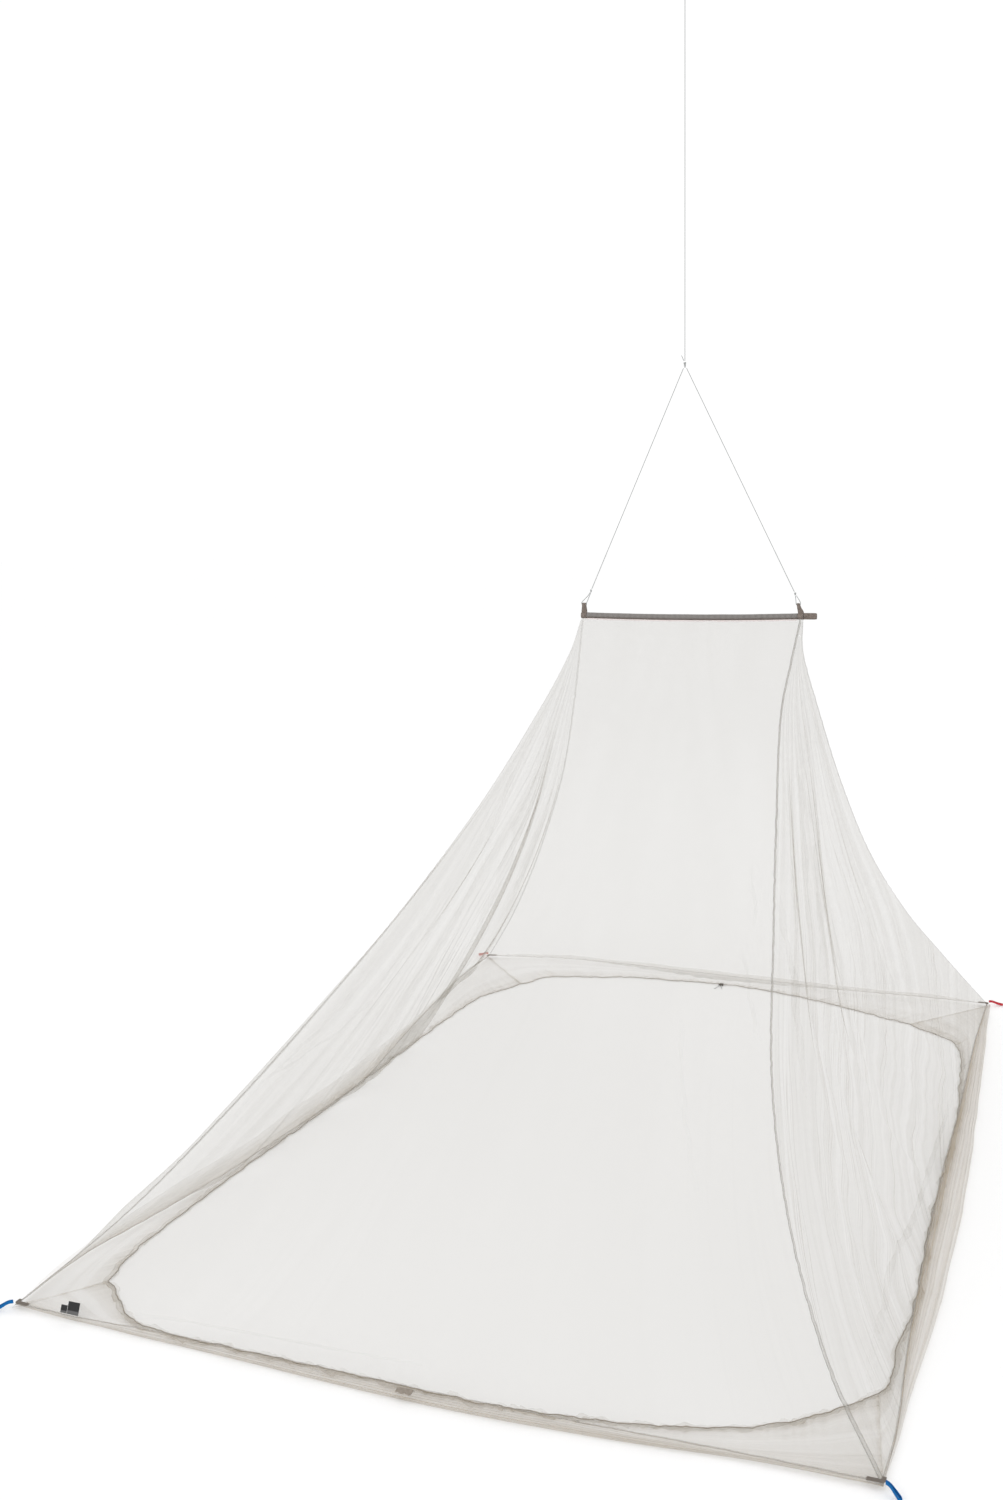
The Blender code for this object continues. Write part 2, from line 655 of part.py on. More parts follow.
def skirt_section(edge, t, corner_side):
    """One section of a skirt, from the hem over the bulge and back towards the rim.

    corner_side is 0 away from the corners. At an end it is -1 or 1, the way along
    the edge to that corner, and the section then lies along the mitre.
    """
    start, end = hem_ends(edge)
    rim_start, rim_end = rim_ends(edge)
    along = start + (end - start) * t
    rim_along = rim_start + (rim_end - rim_start) * t
    seam = -smooth(edge.hem, SEAM_IN, along)
    reach = max(smooth(edge.hem, POUF_OUT, along), seam + SKIRT_LEAST)
    rim = -smooth(edge.hem, RIM_IN, rim_along)
    first = seam + HEM_TAPE_HALF + EDGE_GAP
    wide = reach - first
    from_corner = min(abs(along - start), abs(along - end))
    rise = min(SKIRT_RISE, SKIRT_STEEPEST * wide) * ramp(from_corner, *SKIRT_CORNER)
    shift = corner_side * -MITRE_GAP
    points = []
    for out, z in (
        (first, HEM_Z),
        (first + SKIRT_CREST * wide, HEM_Z + rise),
        (first + SKIRT_BROW * wide, HEM_Z + SKIRT_BROW_RISE * rise),
        (reach, SKIRT_NOSE_Z),
        (first + SKIRT_BROW * wide, SKIRT_UNDER_Z),
    ):
        place = along + corner_side * (out - seam) + shift
        points.append(edge_point(edge, place, out, z))
    half_way = 0.5 * (seam + rim) if corner_side else 0.5 * (reach + rim)
    points.append(edge_point(edge, 0.5 * (along + rim_along) + shift, half_way, SKIRT_LOW_Z))
    return points


def skirt_sections(edge):
    sections = []
    parts = stations(edge)
    start, end = hem_ends(edge)
    heading = 1 if end > start else -1
    hem = hem_line(edge, HEM_TAPE_HALF + EDGE_GAP, 0.0)
    rim = rim_edge_line(edge)
    for k, t in enumerate(parts):
        side = {0: -heading, len(parts) - 1: heading}.get(k, 0)
        section = skirt_section(edge, t, side)
        if side == 0:
            section[0] = hem[k]
        sections.append([*section, rim[k]])
    return sections


# ---------------------------------------------------------------- pieces
def add_walls(build):
    for edge in EDGES:
        build.sheet("net_wall_" + edge.name, wall_rows(edge), CLOTH, "net")


def add_ridge_seams(build):
    ways = [RIDGE_FIRST, *WALL_ROWS[1:-1], RIDGE_LAST]
    for corner in RIDGE_X_COLUMN:
        points = [ridge_point(corner, way) for way in ways]
        build.tube("ridge_seam_" + corner, points, RIDGE_RADIUS, "seam")


def add_hem_tapes(build):
    for edge in EDGES:
        lines = [hem_line(edge, side, TAPE_CORNER_GAP) for side in (-HEM_TAPE_HALF, HEM_TAPE_HALF)]
        build.sheet("hem_tape_" + edge.name, lines, TAPE, "seam")


def add_skirts(build):
    for edge in EDGES:
        build.sheet("floor_skirt_" + edge.name, skirt_sections(edge), CLOTH, "net")


def add_drawcord(build):
    """The rim's gathered casing with its cord, the cord lock, and the cord's two ends."""
    points = []
    for edge in EDGES:
        points += [rim_point(edge, t) for t in stations(edge)][1:]
    rim = build.tube("rim_drawcord", points, RIM_RADIUS, "seam")
    rim.data.splines[0].use_cyclic_u = True
    bm = bmesh.new()
    bmesh.ops.create_cube(bm, size=2.0)
    bmesh.ops.scale(bm, vec=TOGGLE_HALF, verts=bm.verts)
    mesh = bpy.data.meshes.new("drawcord_toggle")
    bm.to_mesh(mesh)
    bm.free()
    toggle = build.add("drawcord_toggle", mesh, "toggle")
    back = EDGES[2]
    before = rim_point(back, TOGGLE_T - TOGGLE_REACH)
    heading = (before - rim_point(back, TOGGLE_T + TOGGLE_REACH)).normalized()
    inwards = Vector((heading.y, -heading.x, 0))
    lock = rim_point(back, TOGGLE_T) + inwards * (RIM_RADIUS + TOGGLE_GAP + TOGGLE_HALF.y)
    lock.z = TOGGLE_HALF.z + GAP
    toggle.location = lock
    toggle.rotation_euler.z = math.atan2(heading.y, heading.x)
    bevel = toggle.modifiers.new("rounding", "BEVEL")
    bevel.width = TOGGLE_ROUNDING
    bevel.segments = 2
    front_face = lock + inwards * TOGGLE_HALF.y
    for name, route in CORD_END_ROUTES.items():
        tail = [front_face + heading * across + inwards * front for across, front, _ in route]
        for place, (_, _, height) in zip(tail, route):
            place.z = height
        build.tube("drawcord_end_" + name, tail, CORD_RADIUS, "cord", 2)


def corner_edges(corner):
    """The two edges that meet in a corner, each with the heading away from it."""
    found = []
    for edge in EDGES:
        if corner in (edge.start, edge.end):
            first = 0.0 if corner == edge.start else 1.0
            start, end = hem_ends(edge)
            inner = abs(first - CORNER_REACH / abs(end - start))
            leg = (hem_point(edge, inner) - hem_point(edge, first)).normalized()
            found.append((leg, outward(edge)))
    return found


def add_corner_tabs(build):
    """Short webbing angles on the hem, and the loops that take the pegs."""
    for corner in RIDGE_X_COLUMN:
        middle = ridge_point(corner, 1.0)
        (leg_a, out_a), (leg_b, out_b) = corner_edges(corner)
        low = CORNER_TAB_OUT - CORNER_TAB_CHAMFER
        outline = [
            leg_a * CORNER_TAB_LEG + out_a * CORNER_TAB_OUT,
            leg_a * CORNER_TAB_LEG - out_a * CORNER_TAB_IN,
            (leg_a + leg_b) * CORNER_TAB_IN,
            leg_b * CORNER_TAB_LEG - out_b * CORNER_TAB_IN,
            leg_b * CORNER_TAB_LEG + out_b * CORNER_TAB_OUT,
            out_b * CORNER_TAB_OUT + out_a * low,
            out_a * CORNER_TAB_OUT + out_b * low,
        ]
        flat = [(point.x, point.y) for point in outline]
        around = sum(a[0] * b[1] - b[0] * a[1] for a, b in zip(flat, flat[1:] + flat[:1]))
        if around < 0:
            flat.reverse()
        place = Matrix.Translation((middle.x, middle.y, CORNER_TAB_Z))
        build.plate("corner_tab_" + corner, flat, TAPE, "webbing", place)
        add_corner_loop(build, corner, middle, (out_a + out_b).normalized())


def add_corner_loop(build, corner, middle, diagonal):
    shape = CORNER_LOOPS[corner]
    steps = LOOP_STEPS
    spine = [Vector((middle.x, middle.y, 0)) + diagonal * LOOP_START]
    headings = []
    for k in range(steps + 1):
        turn = shape.start_degrees + (shape.end_degrees - shape.start_degrees) * k / steps
        headings.append(Vector((math.cos(math.radians(turn)), math.sin(math.radians(turn)), 0)))
        spine.append(spine[-1] + headings[-1] * shape.length / steps)

    def place(part, side, z):
        k = min(int(part * steps + 0.5), steps)
        across = Vector((-headings[k].y, headings[k].x, 0))
        point = spine[k] + across * side
        return Vector((point.x, point.y, z))

    path = [place(part, half, z) for part, half, z in LOOP_SHAPE]
    last_part, last_half, last_z = LOOP_SHAPE[-1]
    for k in range(1, LOOP_END_STEPS):
        angle = math.pi * k / LOOP_END_STEPS
        part = last_part + (1 - last_part) * math.sin(angle)
        z = last_z + (LOOP_END_Z - last_z) * math.sin(angle)
        path.append(place(part, last_half * math.cos(angle), z))
    path += [place(part, -half, z) for part, half, z in reversed(LOOP_SHAPE)]
    rows = []
    for half in (-LOOP_HALF_HEIGHT, LOOP_HALF_HEIGHT):
        rows.append([point + Vector((0, 0, half)) for point in path])
    build.sheet("corner_loop_" + corner, rows, LOOP_CLOTH, shape.colour, closed=True)


def facing(origin, x_axis, y_axis):
    """A frame with its x and y axes near the given ones, at an origin."""
    x_axis = x_axis.normalized()
    normal = x_axis.cross(y_axis).normalized()
    y_axis = normal.cross(x_axis)
    turn = Matrix((x_axis, y_axis, normal)).transposed().to_4x4()
    return Matrix.Translation(origin) @ turn


def rectangle(width, height):
    x, y = width / 2, height / 2
    return [(-x, -y), (x, -y), (x, y), (-x, y)]


def row_place(points, x):
    """The point of a line of points, given in order of x, at one x."""
    for low, high in zip(points, points[1:]):
        if low.x <= x <= high.x:
            return low.lerp(high, (x - low.x) / (high.x - low.x))
    return points[0]


def add_labels(build):
    """Two plain labels in the front hem's seam, and a webbing tag on the front skirt."""
    front = EDGES[0]
    feet = wall_rows(front)[-1]
    for name, x, width, height in LABELS:
        side = row_place(feet, x + width / 2) - row_place(feet, x - width / 2)
        normal = side.cross(LABEL_UP).normalized()
        rise = LABEL_UP.normalized() * (height / 2 + LABEL_GAP)
        middle = row_place(feet, x) + rise + normal * LABEL_LIFT
        place = facing(middle, side, LABEL_UP)
        build.plate(name, rectangle(width, height), LABEL_CLOTH, "label", place)
    sections = skirt_sections(front)
    crest = row_place([section[1] for section in sections], HEM_TAG_X)
    brow = row_place([section[2] for section in sections], HEM_TAG_X)
    side = Vector((1, 0, 0))
    inwards = (crest - brow).normalized()
    normal = side.cross(inwards).normalized()
    place = facing(crest.lerp(brow, 0.5) + normal * HEM_TAG_LIFT, side, inwards)
    build.plate("front_hem_tag", rectangle(*HEM_TAG_SIZE), TAPE, "webbing", place)


def add_bar(build):
    """The bar, its sleeve, the sleeve's flat end, and the two tabs that carry them."""
    ends = (BAR_LEFT_X, BAR_RIGHT_X)
    xs = [ends[0] + (ends[1] - ends[0]) * k / BAR_STEPS for k in range(BAR_STEPS + 1)]
    line = [Vector((x, BAR_Y, bar_height(x))) for x in xs]
    build.tube("spreader_bar", line, BAR_RADIUS, "bar", 3)
    rows = []
    for k in range(BAR_STEPS + 1):
        x = SLEEVE_LEFT_X + (SLEEVE_RIGHT_X - SLEEVE_LEFT_X) * k / BAR_STEPS
        rows.append(oval(x, bar_height(x), SLEEVE_RADIUS, SLEEVE_RADIUS))
    build.sheet("bar_sleeve", rows, SLEEVE_CLOTH, "sleeve_cloth", closed=True)
    rows = []
    for part, half_width in FLAP_SECTIONS:
        x = FLAP_LEFT_X + (FLAP_RIGHT_X - FLAP_LEFT_X) * part
        rows.append(oval(x, bar_height(x) + FLAP_RISE * part, half_width, FLAP_HALF_HEIGHT))
    build.sheet("bar_sleeve_end", rows, SLEEVE_CLOTH, "webbing", closed=True)
    for tab in BAR_TABS:
        add_bar_tab(build, *tab)


def oval(x, z, half_width, half_height):
    """A section round the bar, upright and across it."""
    points = []
    for k in range(SLEEVE_SIDES):
        angle = 2 * math.pi * k / SLEEVE_SIDES
        y = BAR_Y + half_width * math.cos(angle)
        points.append(Vector((x, y, z + half_height * math.sin(angle))))
    return points


def add_bar_tab(build, name, x, top_shift, top_width):
    """Webbing round the bar's end, its two layers joined above and bent over on top."""
    z = bar_height(x)
    path = []
    lean = math.asin(TAB_HALF_GAP / TAB_RING)
    for k in range(TAB_TURNS + 1):
        angle = math.pi / 2 + lean + (2 * math.pi - 2 * lean) * k / TAB_TURNS
        path.append((TAB_RING * math.cos(angle), TAB_RING * math.sin(angle)))
    for rise in (*TAB_LAYER_RISES, TAB_RISE):
        path.append((TAB_HALF_GAP, rise))
    for k in range(1, TAB_TOP_TURNS):
        angle = math.pi * k / TAB_TOP_TURNS
        top = TAB_RISE + TAB_HALF_GAP * math.sin(angle)
        path.append((TAB_HALF_GAP * math.cos(angle), top))
    for rise in (TAB_RISE, *reversed(TAB_LAYER_RISES)):
        path.append((-TAB_HALF_GAP, rise))
    rows = []
    for side in (-0.5, 0.5):
        row = []
        for y, up in path:
            part = ramp(up, SLEEVE_RADIUS, TAB_RISE)
            width = TAB_WIDTH + (top_width - TAB_WIDTH) * part
            row.append(Vector((x + top_shift * part + side * width, BAR_Y + y, z + up)))
        rows.append(row)
    build.sheet("bar_tab_" + name, rows, TAPE, "webbing", closed=True)


def between(start, end, start_gap, end_gap, count):
    """Evenly spaced places on the straight line between two knots."""
    way = (end - start).normalized()
    first = start + way * start_gap
    last = end - way * end_gap
    return [first.lerp(last, k / count) for k in range(count + 1)]


def add_cords(build):
    """The bridle's small loops and knots, its two cords, the apex knot and the long cord."""
    for side, route in (("left", LEFT_LOOP_ROUTE), ("right", RIGHT_LOOP_ROUTE)):
        knot = BRIDLE_KNOTS[side]
        points = [Vector((x, BAR_Y, z)) for x, z in route]
        build.tube("bridle_loop_" + side, points, CORD_RADIUS, "cord", 2)
        build.knot("bridle_knot_" + side, knot, BRIDLE_KNOT_HALF, "cord")
        spread = BRIDLE_SPREAD if side == "right" else -BRIDLE_SPREAD
        leaves = APEX + Vector((spread, 0, -BRIDLE_DROP))
        cord = between(knot, leaves, BRIDLE_KNOT_GAP, APEX_GAP, BRIDLE_STEPS)
        build.tube("bridle_cord_" + side, cord, CORD_RADIUS, "cord", 2)
    build.knot("apex_knot", APEX, APEX_KNOT_HALF, "cord")
    tail = [Vector((x, BAR_Y, z)) for x, z in APEX_TAIL_ROUTE]
    build.tube("apex_knot_tail", tail, CORD_RADIUS, "cord", 2)
    long_cord = between(APEX, TOP_KNOT, APEX_KNOT_HALF.z + GAP, TOP_KNOT_GAP, LONG_CORD_STEPS)
    build.tube("hanging_cord", long_cord, CORD_RADIUS, "cord", 2)
    build.knot("hanging_knot", TOP_KNOT, BRIDLE_KNOT_HALF, "cord")
    loop = [Vector((x, BAR_Y, z)) for x, z in HANG_LOOP_ROUTE]
    build.tube("hanging_loop", loop, CORD_RADIUS, "cord", 2)


def main():
    clear_scene()
    build = Builder()
    add_walls(build)
    add_ridge_seams(build)
    add_hem_tapes(build)
    add_skirts(build)
    add_drawcord(build)
    add_corner_tabs(build)
    add_labels(build)
    add_bar(build)
    add_cords(build)


main()
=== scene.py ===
"""Looks of a mosquito net canopy that hangs from a spreader bar.

Places are worked out in a frame on the floor, x from left to right and y from front to
back, with its origin in the middle of the net's rectangle. Each finished shape is then
moved so that the origin is the top of the hanging loop, as it is in the solids.
"""

import math
from collections import namedtuple

import bmesh
import bpy
import numpy as np
from mathutils import Matrix, Vector


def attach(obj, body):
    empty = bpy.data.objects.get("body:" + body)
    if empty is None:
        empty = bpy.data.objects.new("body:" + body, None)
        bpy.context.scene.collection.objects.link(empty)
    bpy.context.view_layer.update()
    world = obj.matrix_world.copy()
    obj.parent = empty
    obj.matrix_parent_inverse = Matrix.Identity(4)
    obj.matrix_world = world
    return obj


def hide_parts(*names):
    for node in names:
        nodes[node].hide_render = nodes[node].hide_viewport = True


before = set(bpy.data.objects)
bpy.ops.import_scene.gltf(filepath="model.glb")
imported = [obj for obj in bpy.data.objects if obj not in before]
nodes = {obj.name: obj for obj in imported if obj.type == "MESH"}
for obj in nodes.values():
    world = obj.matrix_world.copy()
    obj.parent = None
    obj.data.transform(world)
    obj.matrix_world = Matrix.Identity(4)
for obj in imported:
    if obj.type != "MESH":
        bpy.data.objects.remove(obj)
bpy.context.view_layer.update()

# ---------------------------------------------------------------- camera
HANG_POINT = np.array((0.238, 0.098, 3.160))
CAMERA_PLACE = (1.291, -3.244, 1.773)
CAMERA_TURN = (-16.53, 10.63, 0.50)     # degrees: to the right, down, and rolled
LENS = 30.12                            # millimetres, like the sensor's long side
SENSOR = 36
SHIFT_X = -0.1423


def add_camera():
    turn, down_by, roll = (math.radians(angle) for angle in CAMERA_TURN)
    level = math.cos(down_by)
    forward = Vector((math.sin(turn) * level, math.cos(turn) * level, -math.sin(down_by)))
    right = Vector((math.cos(turn), -math.sin(turn), 0))
    down = forward.cross(right)
    across = right * math.cos(roll) + down * math.sin(roll)
    up = right * math.sin(roll) - down * math.cos(roll)
    data = bpy.data.cameras.new("camera")
    data.lens = LENS
    data.sensor_width = SENSOR
    data.shift_x = SHIFT_X
    camera = bpy.data.objects.new("camera", data)
    axes = Matrix((across, up, -forward)).transposed().to_4x4()
    camera.matrix_world = Matrix.Translation(Vector(CAMERA_PLACE) - Vector(HANG_POINT)) @ axes
    bpy.context.scene.collection.objects.link(camera)
    bpy.context.scene.camera = camera


# ---------------------------------------------------------------- sizes, in metres
HALF_WIDTH = 1.0
HALF_LENGTH = 1.2
HEM_Z = 0.012
HEM_STEP_OFF = 0.0053       # from the hem line to the edges of the cloth beside it
HEM_TAPE_HALF = 0.0022
CLOTH_LOW_Z = 0.0012        # no cloth on the floor lies lower

# A skirt's section, from the hem over the crest, the brow and the nose of its bulge,
# back under it along the floor, and up to the rim.
SKIRT_LEAST = 0.0095        # least width of the bulge
SKIRT_RISE = 0.011          # most rise of the crest over the hem
SKIRT_STEEPEST = 0.25       # most rise as a part of the bulge's width
SKIRT_CORNER = (0.05, 0.16)     # the crest rises between these distances from a corner
SKIRT_CORNER_REACH = 0.09   # the bulge widens over this distance from a corner
SKIRT_DRAW_IN = 0.6         # part of the width that is lost where the bulge is drawn in
SKIRT_MITRE = 0.04          # the mitre's length along each edge
CREST = 0.45                # parts of the bulge's width
BROW = 0.86
BROW_RISE = 0.55            # part of the crest's rise
NOSE_Z = 0.008
UNDER_Z = 0.003
SKIRT_LOW_Z = 0.002
NOSE_LIFT = 0.85            # parts of the way up to the hem, beside a corner tab
UNDER_LIFT = 0.80
LOW_LIFT = 0.25
GATHER_STOPS = (4.6, 6.0)   # stops of the section where the gathers begin and are whole
GATHER_LENGTHS = (0.016, 0.045)
GATHER_RISE = 0.0018
SHIFT_LENGTHS = (0.018, 0.05)   # the gathers' waves along the rim
GATHER_SHIFT = 0.003
LUMP_LENGTHS = (0.16, 0.50)     # the bulge's long waves
LUMP_RISE = 0.0008
LUMP_OUT = 0.0012
SKIRT_WAVES = 8

RIM_Z = 0.003
RIM_CORD_RADIUS = 0.0011
RIM_STEP = 0.005            # between two points of the rim's line
RIM_SWAY = 0.0020           # to the side, in long waves
RIM_JITTER = 0.0006         # to the side and up, in short waves
FRILL_Z = 0.0022
FRILL_RISE = 0.0018
FRILL_SHIFT = 0.0022        # along the rim
FRILL_UNEVEN = 0.0040
FRILL_USUAL = 2.4           # its usual reach is its two limits together, divided by this
FRILL_ALPHA = 0.13
Frill = namedtuple("Frill", "seed least most layers")
OUTER_FRILL = Frill(94, 0.008, 0.018, 1.4)      # the gathers on each side of the drawcord
INNER_FRILL = Frill(95, 0.001, 0.012, 0.7)

BAR_Y = 0.098
BOW_REACH = 0.30            # the bar's bow lifts the cloth this part of the way down
SLEEVE_RADIUS = 0.0084
SLEEVE_GIRTH = 2 * math.pi * SLEEVE_RADIUS
SLEEVE_CREASE = 0.00035
SLEEVE_INSET = 0.0002       # the cloth's least radius is this much smaller
SLEEVE_FLAT = 0.10
SLEEVE_EDGE_OUT = 0.0079    # the pale edge of its seam, from the bar's middle
SLEEVE_EDGE_LEAN = 0.0008
SLEEVE_EDGE_TOP = 0.0072
SLEEVE_EDGE_DROP = 0.0037
SLEEVE_EDGE_WAVE = 0.0004
SLEEVE_EDGE_CLOTH = 0.004
SLEEVE_ROWS = 180
SLEEVE_COLUMNS = 28
SLEEVE_LEFT_X = -0.0772
SLEEVE_RIGHT_X = 0.5372
FLAP_LEFT_X = 0.5552
FLAP_RIGHT_X = 0.5900
FLAP_HALF_HEIGHT = 0.0088
FLAP_SECTIONS = ((0.00, 0.0062), (0.35, 0.0040), (1.00, 0.0030))
FLAP_DROP = 0.001
FLAP_TAPER = 0.10           # part of its height that is lost at its very end
FLAP_TAPER_LENGTH = 0.006
TAB_WIDTH = 0.016
TAB_RING = 0.0082
TAB_HALF_GAP = 0.0022
TAB_RISE = 0.0325
TAB_LAYER_RISES = (0.0140, 0.0230)
TAB_CLOSING = 0.009         # cloth from the last point of the section to its first
TAB_STITCH_RISES = (0.0105, -0.0055)
STITCH_HALF = 0.0007
STITCH_INSET = 0.0011       # from a plate's edge to its stitches
TAPE = 0.0016               # thickness of the webbing
BAR_TABS = (
    # name, middle along the bar, lean of the top, width of the top
    ("left", -0.0860, 0.0000, 0.0110),
    ("right", 0.5461, -0.0075, 0.0080),
)

CORD_RADIUS = 0.0010
APEX = Vector((0.2244, BAR_Y, 2.1700))
APEX_SPREAD = 0.0016        # the bridle's cords meet a little beside and below the apex
APEX_DROP = 0.004
BRIDLE_GAPS = (0.0054, 0.0062)      # from a knot's middle to the cord's two ends
LONG_CORD_GAPS = (0.0090, 0.0052)
APEX_KNOT_HALF = (0.0040, 0.0040, 0.0085)
BRIDLE_KNOT_HALF = (0.0030, 0.0030, 0.0045)
TOP_KNOT = Vector((0.2372, BAR_Y, 3.0960))
BRIDLE_KNOTS = {"left": Vector((-0.0640, BAR_Y, 1.5630)), "right": Vector((0.5300, BAR_Y, 1.5600))}
LEFT_LOOP_ROUTE = (
    (-0.0672, 1.5578), (-0.0735, 1.5490), (-0.0830, 1.5400), (-0.0905, 1.5330),
    (-0.0932, 1.5290), (-0.0934, 1.5252), (-0.0918, 1.5236), (-0.0860, 1.5232),
    (-0.0802, 1.5236), (-0.0786, 1.5252), (-0.0784, 1.5290), (-0.0735, 1.5390),
    (-0.0672, 1.5530), (-0.0652, 1.5577),
)
RIGHT_LOOP_ROUTE = (
    (0.5304, 1.5546), (0.5312, 1.5480), (0.5320, 1.5400), (0.5326, 1.5330),
    (0.5334, 1.5305), (0.5350, 1.5296), (0.5388, 1.5294), (0.5426, 1.5296),
    (0.5443, 1.5312), (0.5444, 1.5360), (0.5410, 1.5430), (0.5350, 1.5520),
    (0.5330, 1.5552),
)
APEX_TAIL_ROUTE = ((0.2212, 2.1795), (0.2196, 2.1835), (0.2178, 2.1880), (0.2150, 2.1935))
HANG_LOOP_ROUTE = (
    (0.2350, 3.1018), (0.2320, 3.1090), (0.2290, 3.1200), (0.2280, 3.1330),
    (0.2290, 3.1450), (0.2325, 3.1540), (0.2380, 3.1590), (0.2435, 3.1540),
    (0.2470, 3.1450), (0.2480, 3.1330), (0.2470, 3.1200), (0.2435, 3.1090),
    (0.2394, 3.1018),
)

TOGGLE_T = 0.500            # part of the way along the back rim
TOGGLE_REACH = 0.030        # parts of the rim that give its heading
TOGGLE_HALF_DEPTH = 0.0055
TOGGLE_HALF_HEIGHT = 0.0045
TOGGLE_OFF_FLOOR = 0.0004
TOGGLE_ROWS = 14
TOGGLE_COLUMNS = 28
TOGGLE_PARTS = (
    # middle along the rim, half length, share of the section, power of its roundness
    (0.0018, 0.0073, 1.00, 0.6),
    (-0.0055, 0.0009, 0.86, 0.8),
    (-0.0079, 0.0016, 0.70, 0.9),
)
TOGGLE_STAND_OFF = 0.0036   # from the rim's middle to the lock's rear face
CORD_END_ROUTES = {
    # across, towards the front, height
    "left": ((-0.0040, 0.0014, 0.0045), (-0.0060, 0.0120, 0.0036), (-0.0105, 0.0230, 0.0020),
             (-0.0160, 0.0350, 0.0014)),
    "right": ((0.0040, 0.0014, 0.0045), (0.0050, 0.0110, 0.0036), (0.0085, 0.0200, 0.0020),
              (0.0140, 0.0297, 0.0014)),
}

LABELS = (
    # name, middle along the front hem, width, height
    ("hem_label_small", -0.8560, 0.017, 0.017),
    ("hem_label_large", -0.8305, 0.031, 0.027),
)
LABEL_CLOTH = 0.0010
LABEL_UP = np.array((0.0, 0.37, 0.93))
LABEL_LIFT = 0.0045
LABEL_GAP = 0.0006
LABEL_CURL = 0.0012
HEM_TAG_X = 0.024
HEM_TAG_SIZE = (0.036, 0.012)
HEM_TAG_LIFT = 0.0030
HEM_TAG_CURL = 0.0008
HEM_TAG_RAGGED = 0.0012

CORNER_TAB_Z = 0.0145
CORNER_TAB_LEGS = (0.030, 0.010)    # along the front and back hems, and along the sides
CORNER_TAB_OUT = 0.006
CORNER_TAB_IN = 0.003
CORNER_TAB_CHAMFER = 0.004
CORNER_REACH = 0.040
WEBBING_RIB = 0.0011        # between two of the webbing's ribs
LOOP_HALF_HEIGHT = 0.0038
LOOP_CLOTH = 0.0012
LOOP_STEPS = 60
LOOP_FINISHES = {
    # colour, and its dark shade
    "blue_webbing": ((0.004, 0.185, 0.50), (0.003, 0.11, 0.36)),
    "red_webbing": ((0.74, 0.07, 0.09), (0.45, 0.02, 0.03)),
    "pale_red_webbing": ((0.76, 0.32, 0.29), (0.55, 0.18, 0.17)),
}
CornerLoop = namedtuple("CornerLoop", "length start_degrees end_degrees finish slot")
CORNER_LOOPS = {
    "front_left": CornerLoop(0.046, 203.0, 222.0, "blue_webbing", "blue_webbing"),
    "front_right": CornerLoop(0.042, -24.0, -46.0, "blue_webbing", "blue_webbing"),
    "back_right": CornerLoop(0.052, 24.0, 12.0, "red_webbing", "red_webbing"),
    "back_left": CornerLoop(0.052, 158.0, 170.0, "pale_red_webbing", "red_webbing"),
}
LOOP_SHAPE = (
    # part of the length, half the width, height of the middle
    (0.00, 0.0011, 0.0186),
    (0.16, 0.0013, 0.0184),
    (0.32, 0.0017, 0.0162),
    (0.50, 0.0024, 0.0120),
    (0.68, 0.0028, 0.0085),
    (0.84, 0.0027, 0.0064),
    (1.00, 0.0000, 0.0052),
)
LOOP_START = 0.0092

# The four ridge seams, from the bar (way 0) to the floor (way 1).
HEIGHT = 1
RIDGE_X_COLUMN = {"front_left": 2, "front_right": 4, "back_right": 6, "back_left": 8}
RIDGES = (
    # way  height   front left       front right      back right      back left
    (0.00, 1.486, -0.092, 0.0904,  0.547, 0.0904,  0.550, 0.1056, -0.094, 0.1056),
    (0.05, 1.394, -0.111, 0.046,  0.536, 0.043,  0.545, 0.131, -0.118, 0.134),
    (0.13, 1.250, -0.170, -0.028,  0.523, -0.034,  0.574, 0.175, -0.158, 0.182),
    (0.28, 1.000, -0.287, -0.191,  0.547, -0.186,  0.627, 0.288, -0.252, 0.298),
    (0.43, 0.750, -0.428, -0.386,  0.588, -0.385,  0.690, 0.442, -0.395, 0.468),
    (0.60, 0.500, -0.588, -0.616,  0.648, -0.643,  0.776, 0.665, -0.570, 0.680),
    (0.75, 0.300, -0.729, -0.815,  0.740, -0.868,  0.864, 0.878, -0.730, 0.872),
    (0.89, 0.130, -0.864, -1.012,  0.867, -1.072,  0.942, 1.062, -0.880, 1.045),
    (1.00, 0.012, -0.987, -1.214,  0.999, -1.212,  1.003, 1.181, -0.988, 1.170),
)
BAR = (
    # x       z
    (-0.095, 1.4935),
    (0.080, 1.4915),
    (0.240, 1.4920),
    (0.400, 1.4945),
    (0.600, 1.5010),
)

# Each edge on the floor, by the place along it: where the hem line, the outermost
# bulge of the skirt and the drawn rim lie beside the straight edge.
SEAM_IN, POUF_OUT, RIM_IN = 1, 2, 3
FRONT_HEM = (
    (-0.987, -0.0140, 0.0180, 0.1200),
    (-0.861, -0.0195, 0.0260, 0.1200),
    (-0.800, -0.0200, 0.0270, 0.0840),
    (-0.720, -0.0170, 0.0280, 0.0250),
    (-0.600, -0.0140, 0.0320, -0.0010),
    (-0.400, -0.0165, 0.0380, -0.0060),
    (-0.080, -0.0200, 0.0510, -0.0100),
    (0.180, -0.0235, 0.0530, -0.0140),
    (0.440, -0.0195, 0.0430, 0.0060),
    (0.590, -0.0155, 0.0360, 0.0320),
    (0.740, -0.0130, 0.0260, 0.0760),
    (0.860, -0.0125, 0.0220, 0.1490),
    (0.953, -0.0120, 0.0215, 0.2290),
    (0.999, -0.0120, 0.0215, 0.2290),
)
